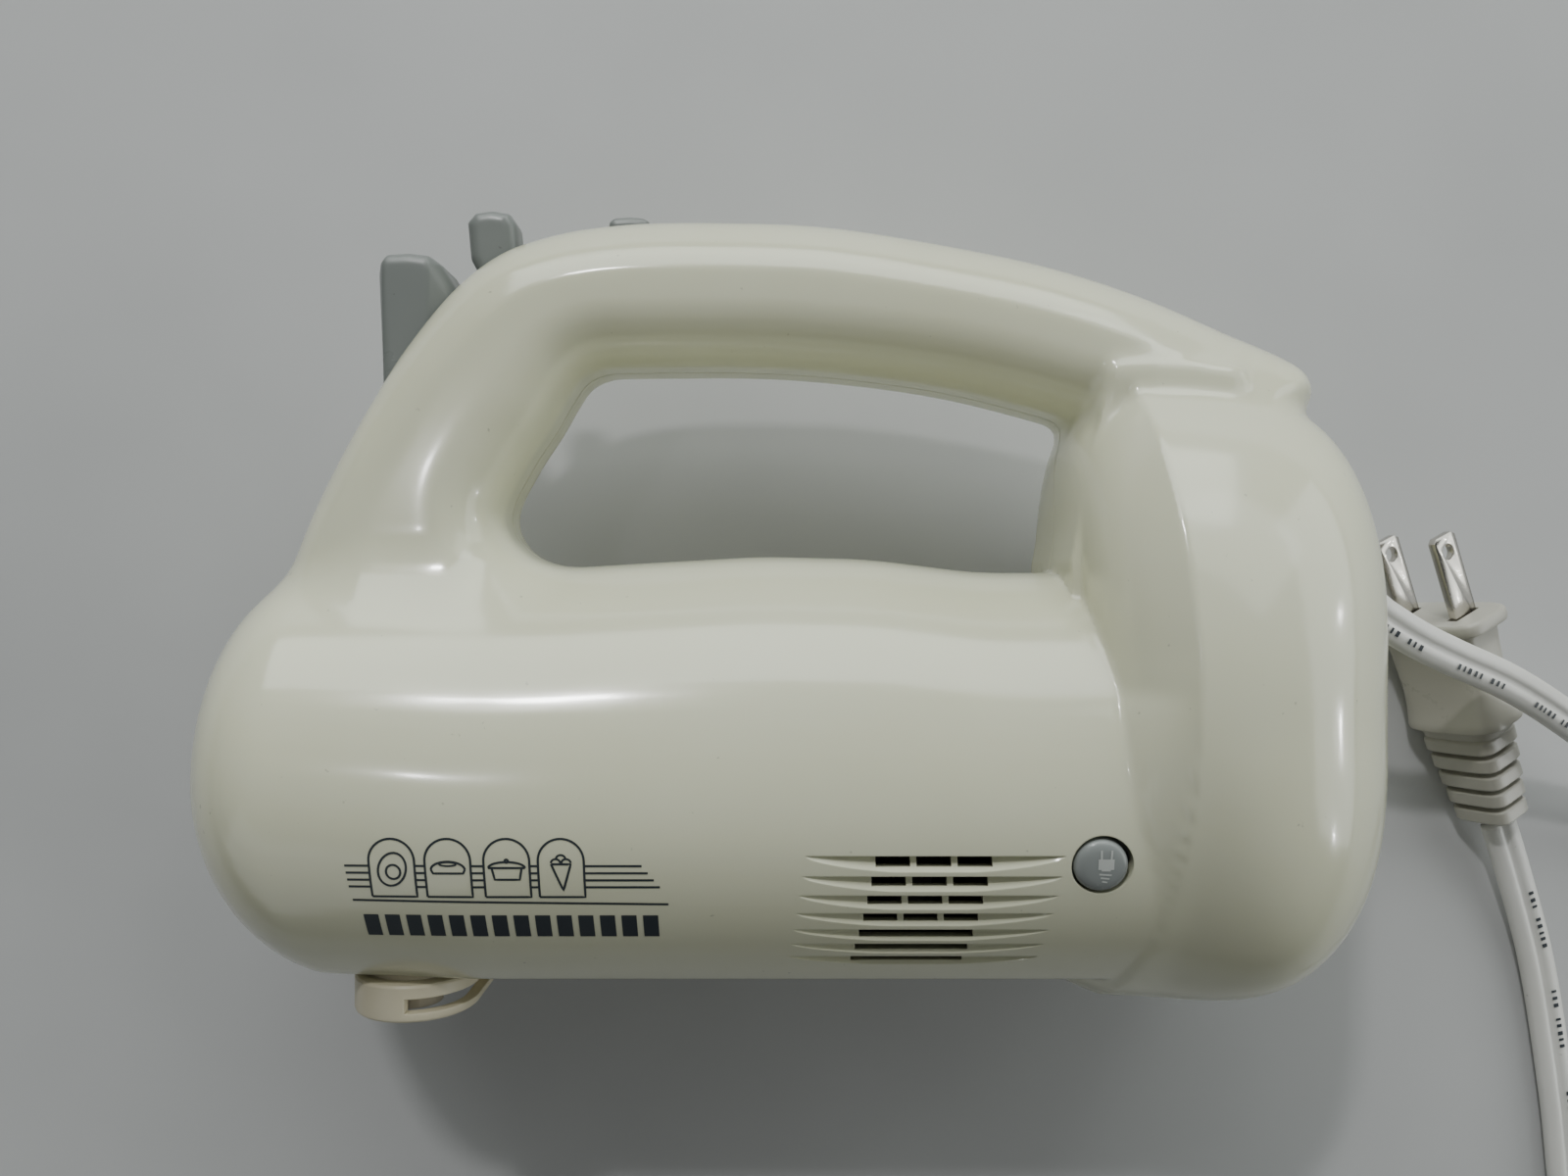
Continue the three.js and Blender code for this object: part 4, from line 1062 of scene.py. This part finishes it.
def print_strokes():
    """Four arched frames on level lines, each with a food drawn in plain strokes."""
    quads = []
    for x in FRAME_LEFT:
        r = FRAME_WIDE / 2
        arch = [(x, FRAME_FOOT)]
        arch += circle(x + r, FRAME_TOP - r, r, 24, math.pi, 0, False)
        arch += [(x + FRAME_WIDE, FRAME_FOOT), (x, FRAME_FOOT)]
        quads += strip(arch, STROKE)
    for k, y in enumerate(LINES):
        quads += strip([(-67.2 + 0.1 * k, y), (FRAME_LEFT[0], y)], STROKE)
        for a, b in zip(FRAME_LEFT[:-1], FRAME_LEFT[1:]):
            quads += strip([(a + FRAME_WIDE, y), (b, y)], STROKE)
        quads += strip([(FRAME_LEFT[3] + FRAME_WIDE, y), (-21.7 + 0.9 * k, y)], STROKE)
    quads += strip([(-66.6, FRAME_FOOT - 0.65), (-17.8, FRAME_FOOT - 1.25)], STROKE)
    centre = [x + FRAME_WIDE / 2 for x in FRAME_LEFT]
    # A ring cake, a loaf, a pot and a cone.
    quads += strip(oval(centre[0], -43.0, 2.1, 2.75, -0.35), STROKE)
    quads += strip(oval(centre[0] + 0.15, -43.4, 1.1, 1.15), STROKE)
    c = centre[1]
    quads += strip(oval(c, -43.0, 2.6, 1.3, 0, 0, math.pi), STROKE)
    tray = [(c - 2.6, -43.0), (c - 2.3, -43.6), (c + 2.3, -43.6), (c + 2.6, -43.0)]
    quads += strip(tray, STROKE)
    quads += strip(oval(c, -42.1, 1.3, 0.3), STROKE * 0.8)
    c = centre[2]
    pot = [(c - 2.3, -42.7), (c - 1.9, -44.6), (c + 1.9, -44.6), (c + 2.3, -42.7)]
    quads += strip(pot, STROKE)
    quads += strip(oval(c, -42.7, 2.8, 0.95, 0, 0, math.pi) + [(c + 2.8, -42.7)], STROKE)
    quads += strip([(c - 2.8, -42.7), (c + 2.8, -42.7)], STROKE)
    quads += strip(oval(c, -41.6, 0.25, 0.25), STROKE)
    c = centre[3]
    cone = [(c - 1.5, -42.1), (c + 0.2, -46.4), (c + 1.5, -42.1), (c - 1.5, -42.1)]
    quads += strip(cone, STROKE)
    for dx, dy in ((-0.8, 0), (0.8, 0), (0, 0.65)):
        quads += strip(oval(c + dx, -41.9 + dy, 0.7, 0.62, 0, 0, math.pi), STROKE * 0.9)
    return quads


BARS_START, BARS_END, BAR_STEP = -65.4, -21.5, 3.35
BAR_FOOT, BAR_TALL, BAR_WIDE = -54.6, 3.9, 2.35


def bar_row():
    """A plain row of equal bars, each cut into four strips so that it follows the skin."""
    quads = []
    x = BARS_START
    while x < BARS_END:
        for f in (0, 0.25, 0.5, 0.75):
            y0, y1 = BAR_FOOT + BAR_TALL * f, BAR_FOOT + BAR_TALL * (f + 0.25)
            quads.append(((x, y0), (x + BAR_WIDE, y0), (x + BAR_WIDE, y1), (x, y1)))
        x += BAR_STEP
    return quads


def body_side(x, y, lift):
    """The left side's skin at x, y, raised by lift."""
    at = np.array([float(x)])
    mid, low, top = (float(table(t, at)[0]) for t in (MIDDLE, LOW, TOP))
    v = (y - mid) / (low if y < mid else top - mid)
    return BODY_R * math.sqrt(max(0, 1 - v * v)) + lift


def decal(name, quads, lift=0.045):
    """Flat quads in X-Y laid on the left side's skin."""
    verts, faces = [], []
    for quad in quads:
        base = len(verts)
        verts += [(x, y, body_side(x, y, lift)) for x, y in quad]
        faces.append(tuple(range(base, base + 4)))
    made = part(name, verts, faces)
    bm = bmesh.new()
    bm.from_mesh(made.data)
    bmesh.ops.remove_doubles(bm, verts=bm.verts, dist=2e-6)
    bm.normal_update()
    for f in bm.faces:
        if f.normal.z < 0:
            f.normal_flip()
    bm.to_mesh(made.data)
    bm.free()
    return crease_smooth(made, 60)


finish_piece(decal("food_frames_print", print_strokes()), PRINT)
finish_piece(decal("bar_row_print", bar_row()), PRINT)


def key_symbol():
    """A pale plug and three short lines on the release key."""
    quads = []
    for x in (-0.5, 0.1, 0.7, 1.3):
        quads += strip([(x, 1.3), (x, -0.4)], 0.62)
    quads += strip([(-0.3, -0.5), (1.1, -0.5)], 0.3)
    quads += strip([(-0.35, 1.3), (-0.4, 2.7)], 0.28) + strip([(1.15, 1.3), (1.2, 2.7)], 0.28)
    for k in range(3):
        line = [(-0.6 + 0.25 * k, -1.15 - 0.6 * k), (1.3 - 0.3 * k, -1.3 - 0.6 * k)]
        quads += strip(line, 0.26)
    verts, faces = [], []
    for quad in quads:
        base = len(verts)
        for x, y in quad:
            r = math.hypot(x, y)
            face = np.interp(r, [0, 1.3, 2.6, 3.6], [36, 35.99, 35.92, 35.75])
            verts.append((x, y, float(face) + 0.05))
        faces.append(tuple(range(base, base + 4)))
    return moved(part("release_key_symbol", verts, faces), BUTTON_TURN)


finish_piece(key_symbol(), FAINT, "cord_button")

# ---------- CAD pieces that keep their shape ----------
KEPT = {
    NYLON: "eject_fork left_spindle right_spindle gear_carrier gear_cover speed_resistor "
           "brake_lever",
    DARK_NYLON: "cooling_fan",
    BLACK: "switch_block reel_frame reel_drum",
    BOARD: "circuit_board",
    FILM: "suppressor_capacitor",
    STEEL: "eject_spring turbo_spring lever_pin armature_shaft front_bracket rear_bracket "
           "reel_axle mainspring brake_pin housing_screw_1 housing_screw_2 housing_screw_3 "
           "housing_screw_4 housing_screw_5",
    LAMINATED: "armature_core stator_core",
    WINDING: "armature_winding_front armature_winding_rear upper_field_coil lower_field_coil",
    COPPER: "commutator",
    BRASS: "front_bearing rear_bearing left_brush_holder right_brush_holder outer_slip_ring "
           "inner_slip_ring contact_block",
    CARBON: "left_carbon_brush right_carbon_brush",
    WHITE: "wound_cord",
    GREY: "cord_grommet",
}
for material, names in KEPT.items():
    for name in names.split():
        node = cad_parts[name]
        node.data.materials.clear()
        node.data.materials.append(material)
        for p in node.data.polygons:
            p.material_index = 0

# ---------- floor and light ----------
bpy.ops.mesh.primitive_plane_add(size=6, location=(0, 0, 0))
floor = bpy.context.object
floor.name = "floor"
floor_material, nodes, links, bsdf = shader("pale_floor", (0.50, 0.505, 0.51), 0.6)
cloudy = remap(nodes, links, noise(nodes, links, 9, 3), 0.3, 0.7, 0.0, 1.0)
links.new(mix(nodes, links, cloudy, (0.48, 0.485, 0.49), (0.54, 0.545, 0.55)),
          bsdf.inputs["Base Color"])
floor.data.materials.append(floor_material)


LAMP_DISTANCE = 1.5
LAMP_TINT = (0.97, 1.02, 0.99)


def area_light(name, direction, size, power, colour=(1, 1, 1)):
    """A rectangular lamp that looks at the middle of the object."""
    lamp = bpy.data.lights.new(name, "AREA")
    lamp.shape = "RECTANGLE"
    lamp.size, lamp.size_y = size
    lamp.energy = power
    lamp.color = colour
    made = bpy.data.objects.new(name, lamp)
    bpy.context.scene.collection.objects.link(made)
    d = Vector(direction).normalized()
    made.location = spot(0, 0, 0) + d * LAMP_DISTANCE
    made.rotation_mode = "QUATERNION"
    made.rotation_quaternion = d.to_track_quat("Z", "Y")


area_light("narrow_lamp", (-0.224, 0.67, 0.708), (0.13, 0.06), 6.0)
area_light("right_lamp", (0.55, 0.55, 0.6), (0.8, 0.7), 2.5, LAMP_TINT)
area_light("low_right_lamp", (0.93, 0.15, 0.28), (1.7, 0.8), 8.0, LAMP_TINT)
area_light("low_left_lamp", (-0.6, -0.6, 0.5), (1.0, 1.0), 1.6, LAMP_TINT)
area_light("back_lamp", (0.0, 0.9, 0.42), (1.8, 0.9), 20.0, LAMP_TINT)
for lamp_at in ((0.97, 0.14, 0.2), (0.97, -0.12, 0.22), (0.93, -0.34, 0.27), (-0.3, 0.1, 0.95)):
    area_light("small_lamp", lamp_at, (0.025, 0.025), 0.5)

world = bpy.data.worlds.new("studio")
bpy.context.scene.world = world
world.use_nodes = True
sky = world.node_tree.nodes["Background"].inputs
sky["Color"].default_value = (0.92, 0.94, 0.92, 1)
sky["Strength"].default_value = 0.05
